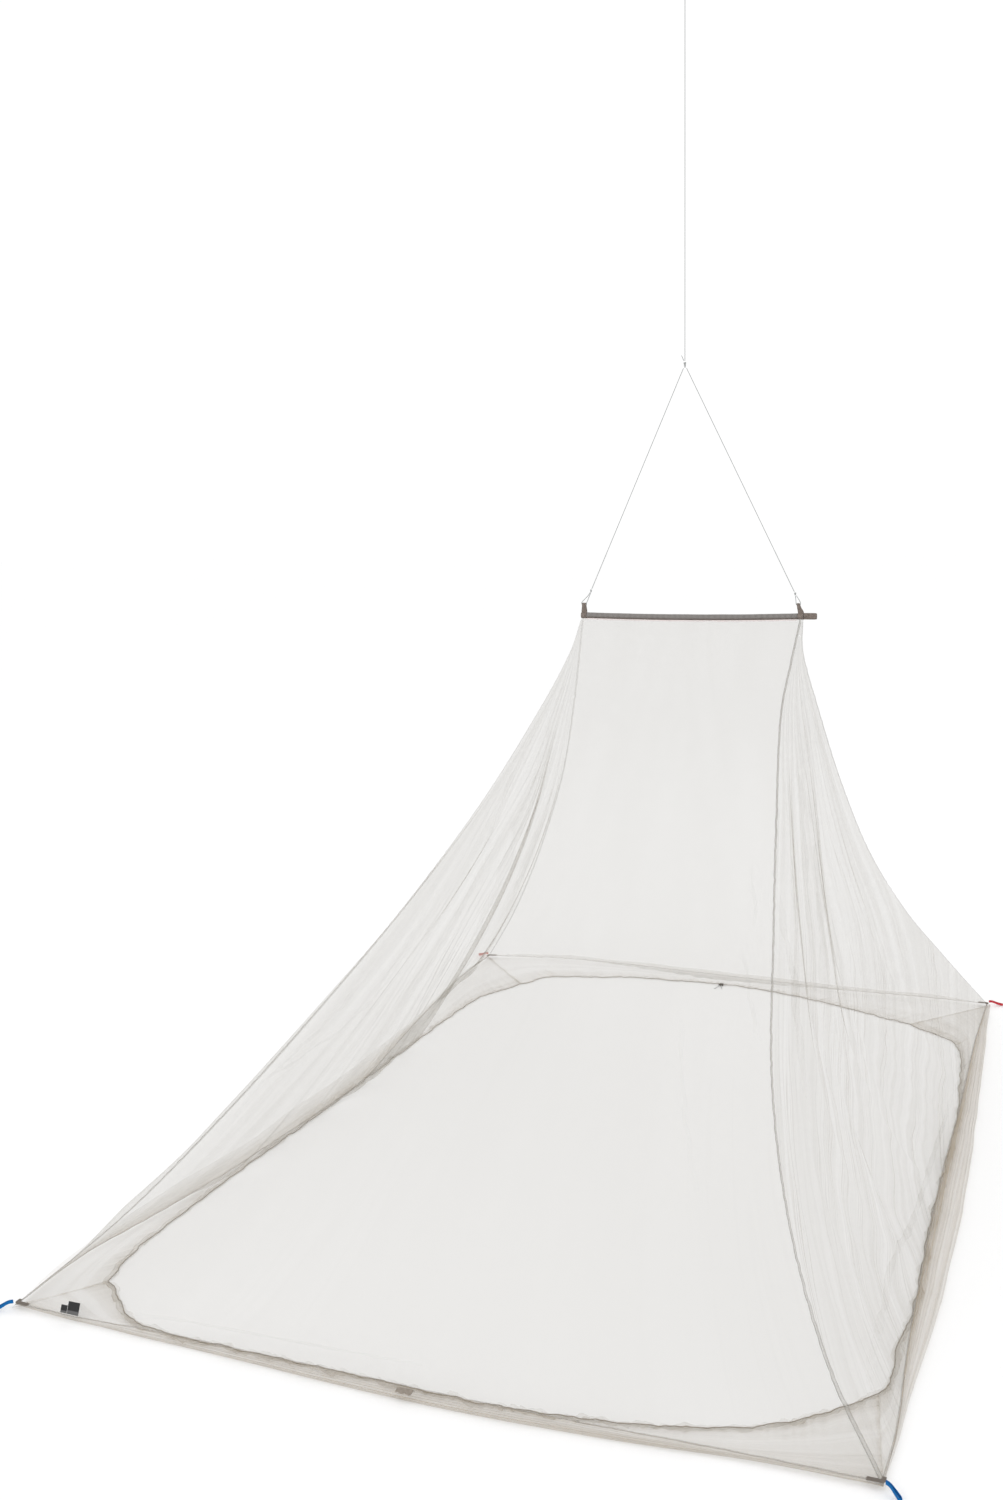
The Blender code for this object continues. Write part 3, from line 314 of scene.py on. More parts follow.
RIGHT_HEM = (
    (-1.212, 0.0010, 0.0060, 0.0470),
    (-1.100, -0.0040, 0.0175, 0.0470),
    (-1.000, -0.0020, 0.0225, 0.0470),
    (-0.971, 0.0000, 0.0240, 0.0470),
    (-0.930, 0.0030, 0.0275, 0.0310),
    (-0.800, 0.0090, 0.0330, 0.0320),
    (-0.690, 0.0125, 0.0390, 0.0170),
    (-0.600, 0.0135, 0.0430, 0.0170),
    (-0.300, 0.0185, 0.0510, 0.0230),
    (0.000, 0.0180, 0.0500, 0.0170),
    (0.300, 0.0120, 0.0420, 0.0140),
    (0.490, 0.0110, 0.0370, 0.0280),
    (0.640, 0.0110, 0.0320, 0.0370),
    (0.770, 0.0100, 0.0290, 0.0570),
    (0.850, 0.0090, 0.0260, 0.1040),
    (0.940, 0.0060, 0.0210, 0.2400),
    (1.181, -0.0030, 0.0100, 0.2400),
)
BACK_HEM = (
    (-0.988, 0.0300, -0.0180, 0.2610),
    (-0.860, 0.0060, 0.0180, 0.2610),
    (-0.734, -0.0140, 0.0390, 0.2610),
    (-0.680, -0.0210, 0.0470, 0.1800),
    (-0.600, -0.0240, 0.0490, 0.1460),
    (-0.480, -0.0240, 0.0490, 0.1200),
    (-0.350, -0.0220, 0.0490, 0.0850),
    (-0.200, -0.0140, 0.0410, 0.0760),
    (-0.030, -0.0070, 0.0350, 0.0640),
    (0.110, 0.0010, 0.0280, 0.0700),
    (0.290, 0.0110, 0.0190, 0.1040),
    (0.425, 0.0190, 0.0090, 0.1410),
    (0.560, 0.0210, 0.0060, 0.1880),
    (0.760, 0.0150, 0.0100, 0.2560),
    (1.003, 0.0190, -0.0080, 0.2560),
)
LEFT_HEM = (
    (-1.214, 0.0130, 0.0000, 0.1390),
    (-1.080, 0.0090, 0.0100, 0.1390),
    (-0.980, 0.0170, 0.0140, 0.1140),
    (-0.900, 0.0360, 0.0140, 0.1080),
    (-0.780, 0.0620, 0.0080, 0.1090),
    (-0.670, 0.0820, -0.0060, 0.1110),
    (-0.570, 0.0990, -0.0220, 0.1130),
    (-0.450, 0.1100, -0.0400, 0.1190),
    (-0.200, 0.1360, -0.0460, 0.1320),
    (0.040, 0.1430, -0.0600, 0.1380),
    (0.200, 0.1170, -0.0600, 0.1410),
    (0.410, 0.0820, -0.0540, 0.1460),
    (0.630, 0.0500, -0.0380, 0.1560),
    (0.780, 0.0310, -0.0200, 0.1760),
    (0.939, 0.0130, -0.0030, 0.2610),
    (1.170, 0.0120, -0.0020, 0.2610),
)
SIDE_WALL_FIRST = 0.0035
Edge = namedtuple("Edge", "name start end hem top_row columns rows layers")
EDGES = (
    # from one corner to the next, seen from above against the clock; layers says how
    # dense the net of that wall looks beside the front's
    Edge("front", "front_left", "front_right", FRONT_HEM, 0.0, 150, 130, 1.0),
    Edge("right", "front_right", "back_right", RIGHT_HEM, SIDE_WALL_FIRST, 260, 170, 1.35),
    Edge("back", "back_right", "back_left", BACK_HEM, 0.0, 150, 130, 1.0),
    Edge("left", "back_left", "front_left", LEFT_HEM, SIDE_WALL_FIRST, 260, 170, 1.2),
)
RIM_CORNERS = {
    "front_left": (-0.861, -1.080),
    "front_right": (0.953, -0.971),
    "back_right": (0.760, 0.944),
    "back_left": (-0.739, 0.939),
}

WALL_LOW_Z = 0.006
WALL_RIPPLE = 0.0022        # height of the walls' small ripples
WALL_RIPPLE_LENGTHS = (0.05, 0.16)
WALL_RIPPLE_SPREAD = 2.2    # metres of ripples across a wall
UPRIGHT_STREAKS = {"right": 1.9}    # how far the streaks turn upright low in a wall
WALL_SAG = 0.070
SAG_BY_WAY = ((0.0, 0.0), (0.30, 0.80), (0.55, 1.0), (0.93, 0.75), (1.0, 0.0))
FOLD_WAYS = (0.10, 0.30, 0.50, 0.90)
FOLDS = {
    # at 0.10, 0.30, 0.50, 0.90 of the way down, width, height
    "front": (
        (0.30, 0.26, 0.22, 0.16, 0.10, 0.006),
        (0.62, 0.66, 0.72, 0.84, 0.12, -0.006),
    ),
    "right": (
        (0.06, 0.15, 0.19, 0.24, 0.06, 0.016),
        (0.20, 0.27, 0.30, 0.34, 0.06, -0.016),
        (0.55, 0.46, 0.39, 0.26, 0.09, 0.022),
        (0.72, 0.62, 0.56, 0.50, 0.08, -0.018),
        (0.86, 0.74, 0.73, 0.70, 0.07, 0.016),
    ),
    "back": (
        (0.40, 0.42, 0.46, 0.52, 0.14, -0.010),
        (0.80, 0.82, 0.85, 0.90, 0.10, 0.010),
    ),
    "left": (
        (0.14, 0.13, 0.12, 0.12, 0.06, -0.018),
        (0.28, 0.24, 0.22, 0.24, 0.06, 0.018),
        (0.66, 0.45, 0.35, 0.38, 0.08, -0.020),
        (0.84, 0.68, 0.62, 0.60, 0.10, 0.020),
        (0.90, 0.78, 0.82, 0.80, 0.06, -0.020),
        (0.95, 0.93, 0.945, 0.95, 0.06, 0.030),
    ),
}

# Pleats, where the net lies over itself. The route is a list of the way down and the
# part of the wall's width. Thicker is how much more cloth lies there than one layer, and
# edge how much more lies in its two bent edges.
Pleat = namedtuple("Pleat", "route half_width thicker edge")
PLEATS = {
    "front": (
        Pleat(((0.338, 0.933), (0.385, 0.947), (0.415, 0.953)), 0.0035, 0.20, 0.2),
        Pleat(((0.438, 0.920), (0.469, 0.940), (0.523, 0.960), (0.554, 0.980)), 0.0035, 0.20, 0.2),
        Pleat(((0.985, 0.133), (0.977, 0.247), (0.969, 0.387), (0.962, 0.507)), 0.0035, 0.25, 0.2),
        Pleat(((0.52, 0.80), (0.62, 0.83), (0.72, 0.86)), 0.004, 0.12, 0.15),
    ),
    "right": (
        Pleat(((0.10, 0.50), (0.20, 0.48), (0.30, 0.46), (0.35, 0.43), (0.40, 0.40), (0.45, 0.38),
               (0.50, 0.36), (0.60, 0.33)), 0.016, 0.50, 0.50),
        Pleat(((0.12, 0.25), (0.18, 0.33), (0.25, 0.35), (0.35, 0.34), (0.42, 0.33), (0.50, 0.33)),
              0.008, 0.40, 0.40),
        Pleat(((0.19, 0.03), (0.25, 0.10), (0.33, 0.13), (0.40, 0.15), (0.48, 0.17)), 0.003, 0.15, 0.40),
        Pleat(((0.37, 0.02), (0.42, 0.08), (0.48, 0.13), (0.55, 0.15), (0.65, 0.16)), 0.012, 0.40, 0.45),
        Pleat(((0.12, 0.74), (0.20, 0.72), (0.25, 0.71), (0.30, 0.70), (0.35, 0.72)), 0.004, 0.15, 0.40),
        Pleat(((0.25, 0.012), (0.31, 0.016), (0.37, 0.012)), 0.006, 0.60, 0.40),
        Pleat(((0.549, 0.335), (0.642, 0.288), (0.713, 0.265)), 0.004, 0.20, 0.30),
        Pleat(((0.560, 0.365), (0.642, 0.346), (0.707, 0.308)), 0.004, 0.20, 0.30),
        Pleat(((0.08, 0.62), (0.20, 0.60), (0.32, 0.57), (0.44, 0.52)), 0.010, 0.35, 0.40),
        Pleat(((0.30, 0.24), (0.42, 0.25), (0.52, 0.25), (0.64, 0.23)), 0.010, 0.35, 0.40),
        Pleat(((0.50, 0.45), (0.60, 0.42), (0.70, 0.34), (0.78, 0.27)), 0.005, 0.25, 0.30),
        Pleat(((0.10, 0.86), (0.18, 0.85), (0.28, 0.86), (0.40, 0.87)), 0.006, 0.20, 0.30),
        Pleat(((0.960, 0.700), (0.960, 0.565), (0.953, 0.350), (0.924, 0.250), (0.941, 0.185),
               (0.941, 0.092), (0.947, 0.054)), 0.009, 0.55, 0.60),
    ),
    "back": (),
    "left": (
        Pleat(((0.10, 0.50), (0.20, 0.50), (0.30, 0.50), (0.38, 0.46), (0.48, 0.42), (0.60, 0.38)),
              0.018, 0.45, 0.45),
        Pleat(((0.15, 0.82), (0.25, 0.80), (0.35, 0.74), (0.42, 0.68), (0.55, 0.66)), 0.006, 0.25, 0.40),
        Pleat(((0.15, 0.30), (0.30, 0.29), (0.42, 0.27), (0.50, 0.26), (0.60, 0.27)), 0.005, 0.20, 0.35),
        Pleat(((0.30, 0.17), (0.50, 0.14), (0.65, 0.13), (0.84, 0.13)), 0.020, 0.30, 0.08),
        Pleat(((0.40, 0.88), (0.45, 0.86), (0.52, 0.85), (0.60, 0.82), (0.70, 0.81)), 0.004, 0.15, 0.35),
        Pleat(((0.60, 0.935), (0.80, 0.940), (0.97, 0.950)), 0.006, 0.30, 0.60),
        Pleat(((0.70, 0.05), (0.80, 0.06), (0.97, 0.08)), 0.010, 0.50, 0.60),
        Pleat(((0.72, 0.12), (0.85, 0.14), (0.98, 0.17)), 0.008, 0.40, 0.50),
        Pleat(((0.75, 0.19), (0.88, 0.21), (0.98, 0.24)), 0.006, 0.30, 0.40),
        Pleat(((0.360, 0.990), (0.400, 0.985), (0.440, 0.990)), 0.006, 1.20, 0.30),
        Pleat(((0.496, 0.827), (0.572, 0.823), (0.631, 0.846), (0.683, 0.892), (0.724, 0.923),
               (0.795, 0.912)), 0.004, 0.25, 0.35),
        Pleat(((0.537, 0.888), (0.619, 0.896), (0.666, 0.908), (0.719, 0.919)), 0.004, 0.20, 0.30),
        Pleat(((0.30, 0.62), (0.42, 0.58), (0.56, 0.56), (0.70, 0.58)), 0.010, 0.20, 0.30),
        Pleat(((0.06, 0.66), (0.14, 0.64), (0.24, 0.62)), 0.006, 0.30, 0.40),
    ),
}
PLEAT_SWAY = 0.0025
PLEAT_LIFT = 0.0008         # the pleats lie this far outside the wall's first layer
PLEAT_SECTION = (
    # part of the half width, share of the thicker part, share of the edge
    (-1.25, 0.0, 0.0), (-1.00, 0.6, 1.0), (-0.75, 1.0, 0.1), (0.0, 1.0, 0.0),
    (0.75, 1.0, 0.0), (1.00, 0.6, 0.6), (1.30, 0.0, 0.0),
)

SEAM_COLUMNS = 7
SEAM_CROWN = 0.0008
SEAM_SWAY = 0.0005          # to the side
SEAM_RIPPLE = 0.0007        # up and down
# The ridge seams: how dense they look on the way down, and their half width.
SEAM_WAYS = (0.0, 0.12, 0.35, 0.60, 0.85, 1.0)
SEAM_LOOKS = {
    "front_left": ((0.30, 0.35, 0.50, 0.80, 1.00, 1.10), 0.0026),
    "front_right": ((1.10, 1.15, 1.10, 1.05, 0.85, 0.85), 0.0031),
    "back_right": ((0.50, 0.70, 0.75, 0.70, 0.70, 0.80), 0.0024),
    "back_left": ((0.40, 0.55, 0.60, 0.60, 0.65, 0.70), 0.0024),
}

# How far from a corner a skirt's bulge has its whole width, where it draws in to the
# corner tab.
SKIRT_TAPERS = {
    "front": (("front_left", 0.35), ("front_right", 0.60)),
    "right": (("front_right", 0.50),),
    "back": (),
    "left": (),
}
# How much cloth lies in the skirts, from the hem (0) over the bulge's crest (1), brow
# (2) and nose (3), back under it (4) and along the floor (5) to the rim (6).
SKIRT_LAYERS = (
    # down  front right  back  left
    (0.0, 2.00, 3.20, 1.00, 2.20),
    (0.4, 1.60, 2.70, 0.60, 1.30),
    (0.8, 1.40, 1.70, 0.50, 0.60),
    (1.0, 1.35, 1.20, 0.45, 0.40),
    (2.0, 1.45, 0.90, 0.40, 0.28),
    (3.0, 2.10, 0.95, 0.42, 0.27),
    (4.0, 1.00, 0.80, 0.28, 0.28),
    (5.0, 0.48, 0.55, 0.24, 0.27),
    (5.6, 0.45, 0.55, 0.26, 0.32),
    (6.0, 0.80, 0.90, 0.45, 0.55),
)
SKIRT_COLUMNS = 420
SKIRT_STEPS = 5             # rows of points between two stops of the section

# White surroundings, with three large round lamps. Places are on the floor plan.
SKY_STRENGTH = 1.035
LIGHT_SIZE = 3.0
LIGHT_TARGET = (0.0, 0.0, 0.6)
LIGHTS = (
    # name, place, power
    ("key", (-3.2, -3.6, 4.2), 14.0),
    ("fill", (4.2, -1.6, 3.4), 7.0),
    ("back", (0.5, 4.5, 4.0), 7.0),
)

# ---------------------------------------------------------------- finishes
NET_COLOUR = (0.43, 0.405, 0.36)
NET_ALPHA = 0.18
SKIRT_COLOUR = (0.45, 0.38, 0.29)
# Threads to a unit of a piece's own coordinates: across and down a wall, where both run
# from 0 to 1, and for the skirts and the rim, which are measured along in metres.
WALL_THREADS = (1400, 1200)
SKIRT_THREADS = (667, 60)


class Finish:
    """A procedural material: its shader, and short calls for the nodes that feed it."""

    def __init__(self, name, colour, roughness, specular=0.2):
        self.material = bpy.data.materials.new(name)
        self.material.use_nodes = True
        self.tree = self.material.node_tree
        self.shader = self.tree.nodes["Principled BSDF"]
        self.set("Base Color", (*colour, 1.0))
        self.set("Roughness", roughness)
        self.set("Specular IOR Level", specular)

    def feed(self, socket, value):
        if isinstance(value, bpy.types.NodeSocket):
            self.tree.links.new(value, socket)
        else:
            socket.default_value = value

    def set(self, name, value):
        self.feed(self.shader.inputs[name], value)

    def new(self, kind, values, settings):
        """A node, with its sockets fed by name or number, and its own settings."""
        made = self.tree.nodes.new("ShaderNode" + kind)
        for key, value in settings.items():
            setattr(made, key, value)
        for key, value in values.items():
            self.feed(made.inputs[key], value)
        return made

    def math(self, operation, *values):
        return self.new("Math", dict(enumerate(values)), {"operation": operation}).outputs[0]

    def times(self, first, second):
        return self.math("MULTIPLY", first, second)

    def scaled(self, value, factor, base):
        return self.math("MULTIPLY_ADD", value, factor, base)

    def off_middle(self, value):
        return self.math("ABSOLUTE", self.math("SUBTRACT", value, 0.5))

    def stretched(self, across, down):
        """The piece's own coordinates, with so many repeats across and down."""
        place = self.new("UVMap", {}, {"uv_map": "UVMap"}).outputs[0]
        scaled = {0: place, 1: (across, down, 1.0)}
        return self.new("VectorMath", scaled, {"operation": "MULTIPLY"}).outputs[0]

    def along(self, axis, repeats):
        """One of the piece's own two coordinates, as a number."""
        return self.new("SeparateXYZ", {"Vector": self.stretched(repeats, repeats)}, {}).outputs[axis]

    def noise(self, place, scale=1.0, detail=2.0):
        values = {"Vector": place, "Scale": scale, "Detail": detail}
        return self.new("TexNoise", values, {}).outputs[0]

    def grain(self, scale):
        """A fine grain in the solid's own space."""
        return self.noise(self.new("TexCoord", {}, {}).outputs["Object"], scale, 3)

    def threads(self, value):
        """Raised lines, one for each unit of a number."""
        return self.scaled(self.math("SINE", self.times(value, 2 * math.pi)), 0.5, 0.5)

    def weave(self, across, down):
        """Threads both ways, so many to each unit of the piece's own coordinates."""
        return self.times(self.threads(self.along(0, across)), self.threads(self.along(1, down)))

    def ramp(self, value, low, high, first=0.0, last=1.0):
        values = dict(enumerate((value, low, high, first, last)))
        return self.new("MapRange", values, {"interpolation_type": "SMOOTHSTEP"}).outputs[0]

    def colours(self, share, first, second):
        values = {0: share, 6: (*first, 1.0), 7: (*second, 1.0)}
        self.set("Base Color", self.new("Mix", values, {"data_type": "RGBA"}).outputs[2])

    def alpha(self, value, most=1.0):
        self.set("Alpha", self.math("MINIMUM", value, most))

    def bump(self, height, distance, strength):
        values = {"Height": height, "Distance": distance, "Strength": strength}
        self.set("Normal", self.new("Bump", values, {}).outputs[0])

    def thicker(self):
        """How much cloth lies at a place, as the mesh says, where 1 is one layer; on the bar's sleeve it
        is instead a share of painted light, 1 on its top and 0 on its painted shaded underside.
        """
        return self.new("Attribute", {}, {"attribute_name": "thicker"}).outputs[2]


def net_finish(name, colour, alpha, streaks, lines, threads, uneven=0.28):
    """Sheer net: streaks says how many run across and down, and lines how strong its creases are."""
    made = Finish(name, colour, roughness=0.9, specular=0.1)
    across, down = streaks
    broad = made.ramp(made.noise(made.stretched(across * 0.3, down * 0.75), detail=3), 0.3, 0.7)
    fine = made.noise(made.stretched(across, down))
    patches = made.ramp(made.noise(made.stretched(across * 0.15, down * 0.6)), 0.42, 0.60)
    crease = made.times(made.ramp(made.off_middle(fine), 0.0, 0.03, 1.0, 0.0), patches)
    share = made.scaled(broad, uneven, 1.0 - uneven / 2)
    share = made.scaled(crease, lines, share)
    share = made.scaled(made.weave(*threads), 0.08, share)
    made.alpha(made.times(made.times(share, made.thicker()), alpha), 0.95)
    made.bump(made.scaled(broad, 2.0, fine), 0.002, 0.5)
    return made.material


def seam_finish(name, colour, edge_colour, alpha):
    """A felled seam: two stitched lines, with the cloth between them a little thinner."""
    made = Finish(name, colour, roughness=0.85)
    stitched = made.ramp(made.off_middle(made.along(0, 1.0)), 0.26, 0.38)
    uneven = made.noise(made.stretched(1.5, 40.0), detail=3)
    made.colours(made.times(stitched, made.ramp(uneven, 0.2, 0.6, 0.6, 1.0)), colour, edge_colour)
    body = made.scaled(uneven, 0.35, made.scaled(stitched, 0.25, alpha - 0.175))
    made.alpha(made.times(body, made.thicker()))
    made.bump(made.times(made.threads(made.along(1, 280.0)), stitched), 0.0006, 0.6)
    return made.material


def webbing_finish(name, colour, dark):
    """Woven strap: its coordinates are metres along and across, and thicker marks stitches."""
    made = Finish(name, colour, roughness=0.8)
    warp = made.threads(made.along(1, 1 / WEBBING_RIB))
    slant = made.math("ADD", made.along(0, 1 / WEBBING_RIB), made.times(warp, 0.35))
    weave = made.times(warp, made.threads(slant))
    uneven = made.noise(made.stretched(160.0, 160.0), detail=3)
    share = made.scaled(weave, 0.45, made.times(uneven, 0.55))
    made.colours(made.times(made.ramp(share, 0.12, 0.65), made.thicker()), dark, colour)
    made.bump(weave, 0.0005, 0.7)
    return made.material


def sleeve_finish():
    """The bar's sleeve: grey cloth with painted shade, browner and darker below, and faint lengthwise
    creases with painted shade in their grooves.
    """
    made = Finish("sleeve_cloth", (0.24, 0.23, 0.22), roughness=0.85)
    uneven = made.noise(made.stretched(9.0, 3.0), detail=4)
    # Painted crease shade: the same streaks that raise the creases in the bump also darken their grooves
    # in the colour below.
    streak = made.noise(made.stretched(5.0, 24.0), detail=3)
    mixed = made.math("ADD", made.times(uneven, 0.35), made.times(streak, 0.35))
    # Painted shade: the mesh's share is 1 on the sleeve's top and 0 underneath; the uneven noise is the
    # cloth's own tone.
    share = made.math("ADD", made.thicker(), made.math("SUBTRACT", mixed, 0.35))
    # The darker, browner colour is the painted shade of the underside and the grooves; the lighter one is
    # the cloth's own grey.
    made.colours(made.ramp(share, 0.0, 1.0), (0.150, 0.126, 0.113), (0.240, 0.224, 0.213))
    made.bump(made.math("ADD", made.weave(900.0, 60.0), streak), 0.0008, 0.5)
    return made.material


def plain_finish(name, colour, roughness, metallic=0.0, grain=200.0):
    """A finish with a fine grain, for hard pieces and cords."""
    made = Finish(name, colour, roughness)
    made.set("Metallic", metallic)
    fine = made.grain(grain)
    darker, lighter = (tuple(min(part * k, 1.0) for part in colour) for k in (0.82, 1.12))
    made.colours(made.ramp(fine, 0.3, 0.7), darker, lighter)
    made.bump(fine, 0.0003, 0.4)
    return made.material


def casing_finish():
    """The rim's gathered casing, uneven in colour."""
    made = Finish("rim_casing", (0.235, 0.215, 0.185), roughness=0.85)
    fine = made.grain(400.0)
    made.colours(made.ramp(fine, 0.3, 0.7), (0.24, 0.21, 0.175), (0.36, 0.325, 0.28))
    made.bump(fine, 0.0004, 0.5)
    return made.material


def label_finish():
    """Plain woven label: nearly black above and grey along its lower third."""
    made = Finish("label", (0.02, 0.02, 0.021), roughness=0.6)
    fine = made.noise(made.stretched(90.0, 90.0), detail=3)
    low = made.ramp(made.along(1, 1.0), 0.24, 0.34, 1.0, 0.0)
    share = made.scaled(fine, 0.25, made.times(low, 0.75))
    made.colours(share, (0.012, 0.012, 0.013), (0.16, 0.16, 0.16))
    made.bump(made.weave(40.0, 40.0), 0.0003, 0.6)
    return made.material


# ---------------------------------------------------------------- shape helpers
UP = np.array((0.0, 0.0, 1.0))


def smooth(table, column, at):
    """A column's values at places along the table's first column, on a smooth curve."""
    rows = np.array(table, float)
    places, values = rows[:, 0], rows[:, column]
    last = len(places) - 1
    at = np.clip(at, places[0], places[last])
    step = np.clip(np.searchsorted(places, at, side="right") - 1, 0, last - 1)

    def slope(k):
        low, high = np.maximum(k - 1, 0), np.minimum(k + 1, last)
        return (values[high] - values[low]) / (places[high] - places[low])

    span = places[step + 1] - places[step]
    t = (at - places[step]) / span
    bend = t * t * (3 - 2 * t)
    lean_in = t * (1 - t) ** 2 * span * slope(step)
    lean_out = t * t * (1 - t) * span * slope(step + 1)
    return values[step] * (1 - bend) + values[step + 1] * bend + lean_in - lean_out


def ramp(value, low, high):
    """0 at or below low, 1 at or above high, and smooth between them."""
    t = np.clip((value - low) / (high - low), 0.0, 1.0)
    return t * t * (3 - 2 * t)


def waves(seed, place, lengths, count=7, whole=None):
    """Uneven ripples along a place in metres, with wave lengths between two limits.

    Round a closed line, whole is its length, and each ripple fits it a whole number of times.
    """
    chance = np.random.default_rng(seed)
    total = np.zeros_like(place, float)
    for _ in range(count):
        length = chance.uniform(*lengths)
        if whole:
            length = whole / round(whole / length)
        total += np.sin(2 * math.pi * (place / length + chance.uniform()))
    return total / math.sqrt(count)


def unit(vectors):
    return vectors / np.maximum(np.linalg.norm(vectors, axis=-1, keepdims=True), 1e-12)


def spots(x, y, z):
    """Points from three coordinates, each spread over the others."""
    return np.stack(np.broadcast_arrays(x, y, z), axis=-1)


def circle(columns):
    return np.linspace(0, 2 * math.pi, columns, endpoint=False)[None]


def lengths_along(points):
    return np.concatenate(((0,), np.cumsum(np.linalg.norm(np.diff(points, axis=0), axis=1))))


def line_length(points):
    return float(lengths_along(np.array(points))[-1])


def curve_through(points, steps):
    """Points on a smooth curve through a short list, so many to each span."""
    points = np.array(points, float)
    before = np.vstack((2 * points[0] - points[1], points[:-1]))
    after = np.vstack((points[1:], 2 * points[-1] - points[-2]))
    slopes = (after - before) / 2
    line = []
    for k in range(len(points) - 1):
        for t in np.arange(steps) / steps:
            bend = t * t * (3 - 2 * t)
            place = points[k] * (1 - bend) + points[k + 1] * bend
            line.append(place + slopes[k] * t * (1 - t) ** 2 - slopes[k + 1] * t * t * (1 - t))
    line.append(points[-1])
    return np.array(line)


def bar_height(x):
    return smooth(BAR, 1, x)


def follow_bar(x, way):
    """How much the bar's bow lifts the cloth near it."""
    return (bar_height(x) - BAR[0][1]) * (1 - ramp(way, 0.0, BOW_REACH))


def ridge_point(corner, way):
    column = RIDGE_X_COLUMN[corner]
    x, y, z = (smooth(RIDGES, k, way) for k in (column, column + 1, HEIGHT))
    return np.stack((x, y, z + follow_bar(x, way)), axis=-1)


def edge_point(edge, along, out, z):
    """Places on the floor plan: along an edge, and out from the straight edge."""
    places = {
        "front": (along, -(HALF_LENGTH + out), z),
        "right": (HALF_WIDTH + out, along, z),
        "back": (along, HALF_LENGTH + out, z),
        "left": (-(HALF_WIDTH + out), along, z),
    }
    return spots(*places[edge.name])


def outward(edge):
    return edge_point(edge, 0.0, 1.0, 0.0) - edge_point(edge, 0.0, 0.0, 0.0)


def along_of(edge, place):
    return place[0] if edge.name in ("front", "back") else place[1]


def hem_along(edge, t):
    """The place along an edge at a part of its hem's length."""
    start, end = (along_of(edge, ridge_point(corner, 1.0)) for corner in (edge.start, edge.end))
    return start + (end - start) * t


def rim_along(edge, t):
    """The place along an edge at a part of its rim's length."""
    start, end = (along_of(edge, RIM_CORNERS[corner]) for corner in (edge.start, edge.end))
    return start + (end - start) * t


def hem_point(edge, t):
    along = hem_along(edge, t)
    return edge_point(edge, along, -smooth(edge.hem, SEAM_IN, along), HEM_Z)


def rim_point(edge, t):
    along = rim_along(edge, t)
    return edge_point(edge, along, -smooth(edge.hem, RIM_IN, along), RIM_Z)


# Rows of points, with their own coordinates and how much cloth lies at each point, which on
# the bar's sleeve is a share of painted light instead. The rows of a closed patch are rings.
Patch = namedtuple("Patch", "grid u v thicker closed", defaults=(1.0, False))


def grid_mesh(name, *patches):
    """One mesh of some patches."""
    points, faces, places, amounts = [], [], [], []
    first = 0
    for patch in patches:
        rows, columns = patch.grid.shape[:2]
        ends = columns + patch.closed
        row, column = np.meshgrid(np.arange(rows - 1), np.arange(ends - 1), indexing="ij")
        row = row.reshape(-1, 1) + (0, 1, 1, 0)
        column = column.reshape(-1, 1) + (0, 0, 1, 1)
        faces.append(first + row * columns + column % columns)
        u = np.broadcast_to(patch.u, (rows, ends))
        v = np.broadcast_to(np.reshape(patch.v, (rows, -1)), (rows, ends))
        places.append(np.stack((u[row, column], v[row, column]), axis=-1).ravel())
        points.append(patch.grid.reshape(-1, 3) - HANG_POINT)
        amounts.append(np.broadcast_to(patch.thicker, (rows, columns)).ravel())
        first += rows * columns
    mesh = bpy.data.meshes.new(name)
    mesh.from_pydata(np.concatenate(points).tolist(), [], np.concatenate(faces).tolist())
    layer = mesh.uv_layers.new(name="UVMap")
    layer.data.foreach_set("uv", np.concatenate(places).astype(np.float32))
    attribute = mesh.attributes.new("thicker", "FLOAT", "POINT")
    attribute.data.foreach_set("value", np.concatenate(amounts).astype(np.float32))
    mesh.shade_smooth()
    return mesh


def piece(name, data, material, stands_for=True):
    """Adds a piece of the canopy, which may stand for the solid of the same name."""
    data.materials.append(material)
    made = bpy.data.objects.new(name + "_look", data)
    bpy.context.scene.collection.objects.link(made)
    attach(made, "root")
    if stands_for:
        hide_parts(name)
    return made


def patched(name, material, slot, *patches, stands_for=True):
    return piece(name, grid_mesh(name, *patches), material, stands_for)


def thicken(made, thickness):
    """Gives a strip its thickness, half to each side, with softened edges."""
    solidify = made.modifiers.new("thickness", "SOLIDIFY")
    solidify.thickness = thickness
    solidify.offset = 0.0
    bevel = made.modifiers.new("edges", "BEVEL")
    bevel.width = thickness * 0.25
    bevel.segments = 2
    bevel.limit_method = "ANGLE"


def tube(name, points, radius, material, closed=False):
    """A round cord through points."""
    curve = bpy.data.curves.new(name, "CURVE")
    curve.dimensions = "3D"
    curve.bevel_depth = radius
    curve.bevel_resolution = 3
    curve.use_fill_caps = True
    line = curve.splines.new("POLY")
    line.points.add(len(points) - 1)
    for spot, point in zip(line.points, points):
        spot.co = (*(np.array(point) - HANG_POINT), 1.0)
    line.use_cyclic_u = closed
    line.use_smooth = True
    return piece(name, curve, material)


# ---------------------------------------------------------------- cords
def knot(name, middle, half_size, material):
    """A small overhand knot: a cord wound three times through itself."""
    turns = np.linspace(0, 2 * math.pi, 49)[:-1]
    shape = np.stack((np.sin(turns) + 2 * np.sin(2 * turns), -1.6 * np.sin(3 * turns),
                      np.cos(turns) - 2 * np.cos(2 * turns)), axis=-1) / 3
    reach = np.array(half_size) - CORD_RADIUS * 0.9
    return tube(name, np.array(middle) + shape * reach, CORD_RADIUS, material, closed=True)


def free_cord(name, points, far_end, lay, material, **more):
    """A cord through points, which stands for the solid of the same name."""
    made = tube(name, points, CORD_RADIUS, material)


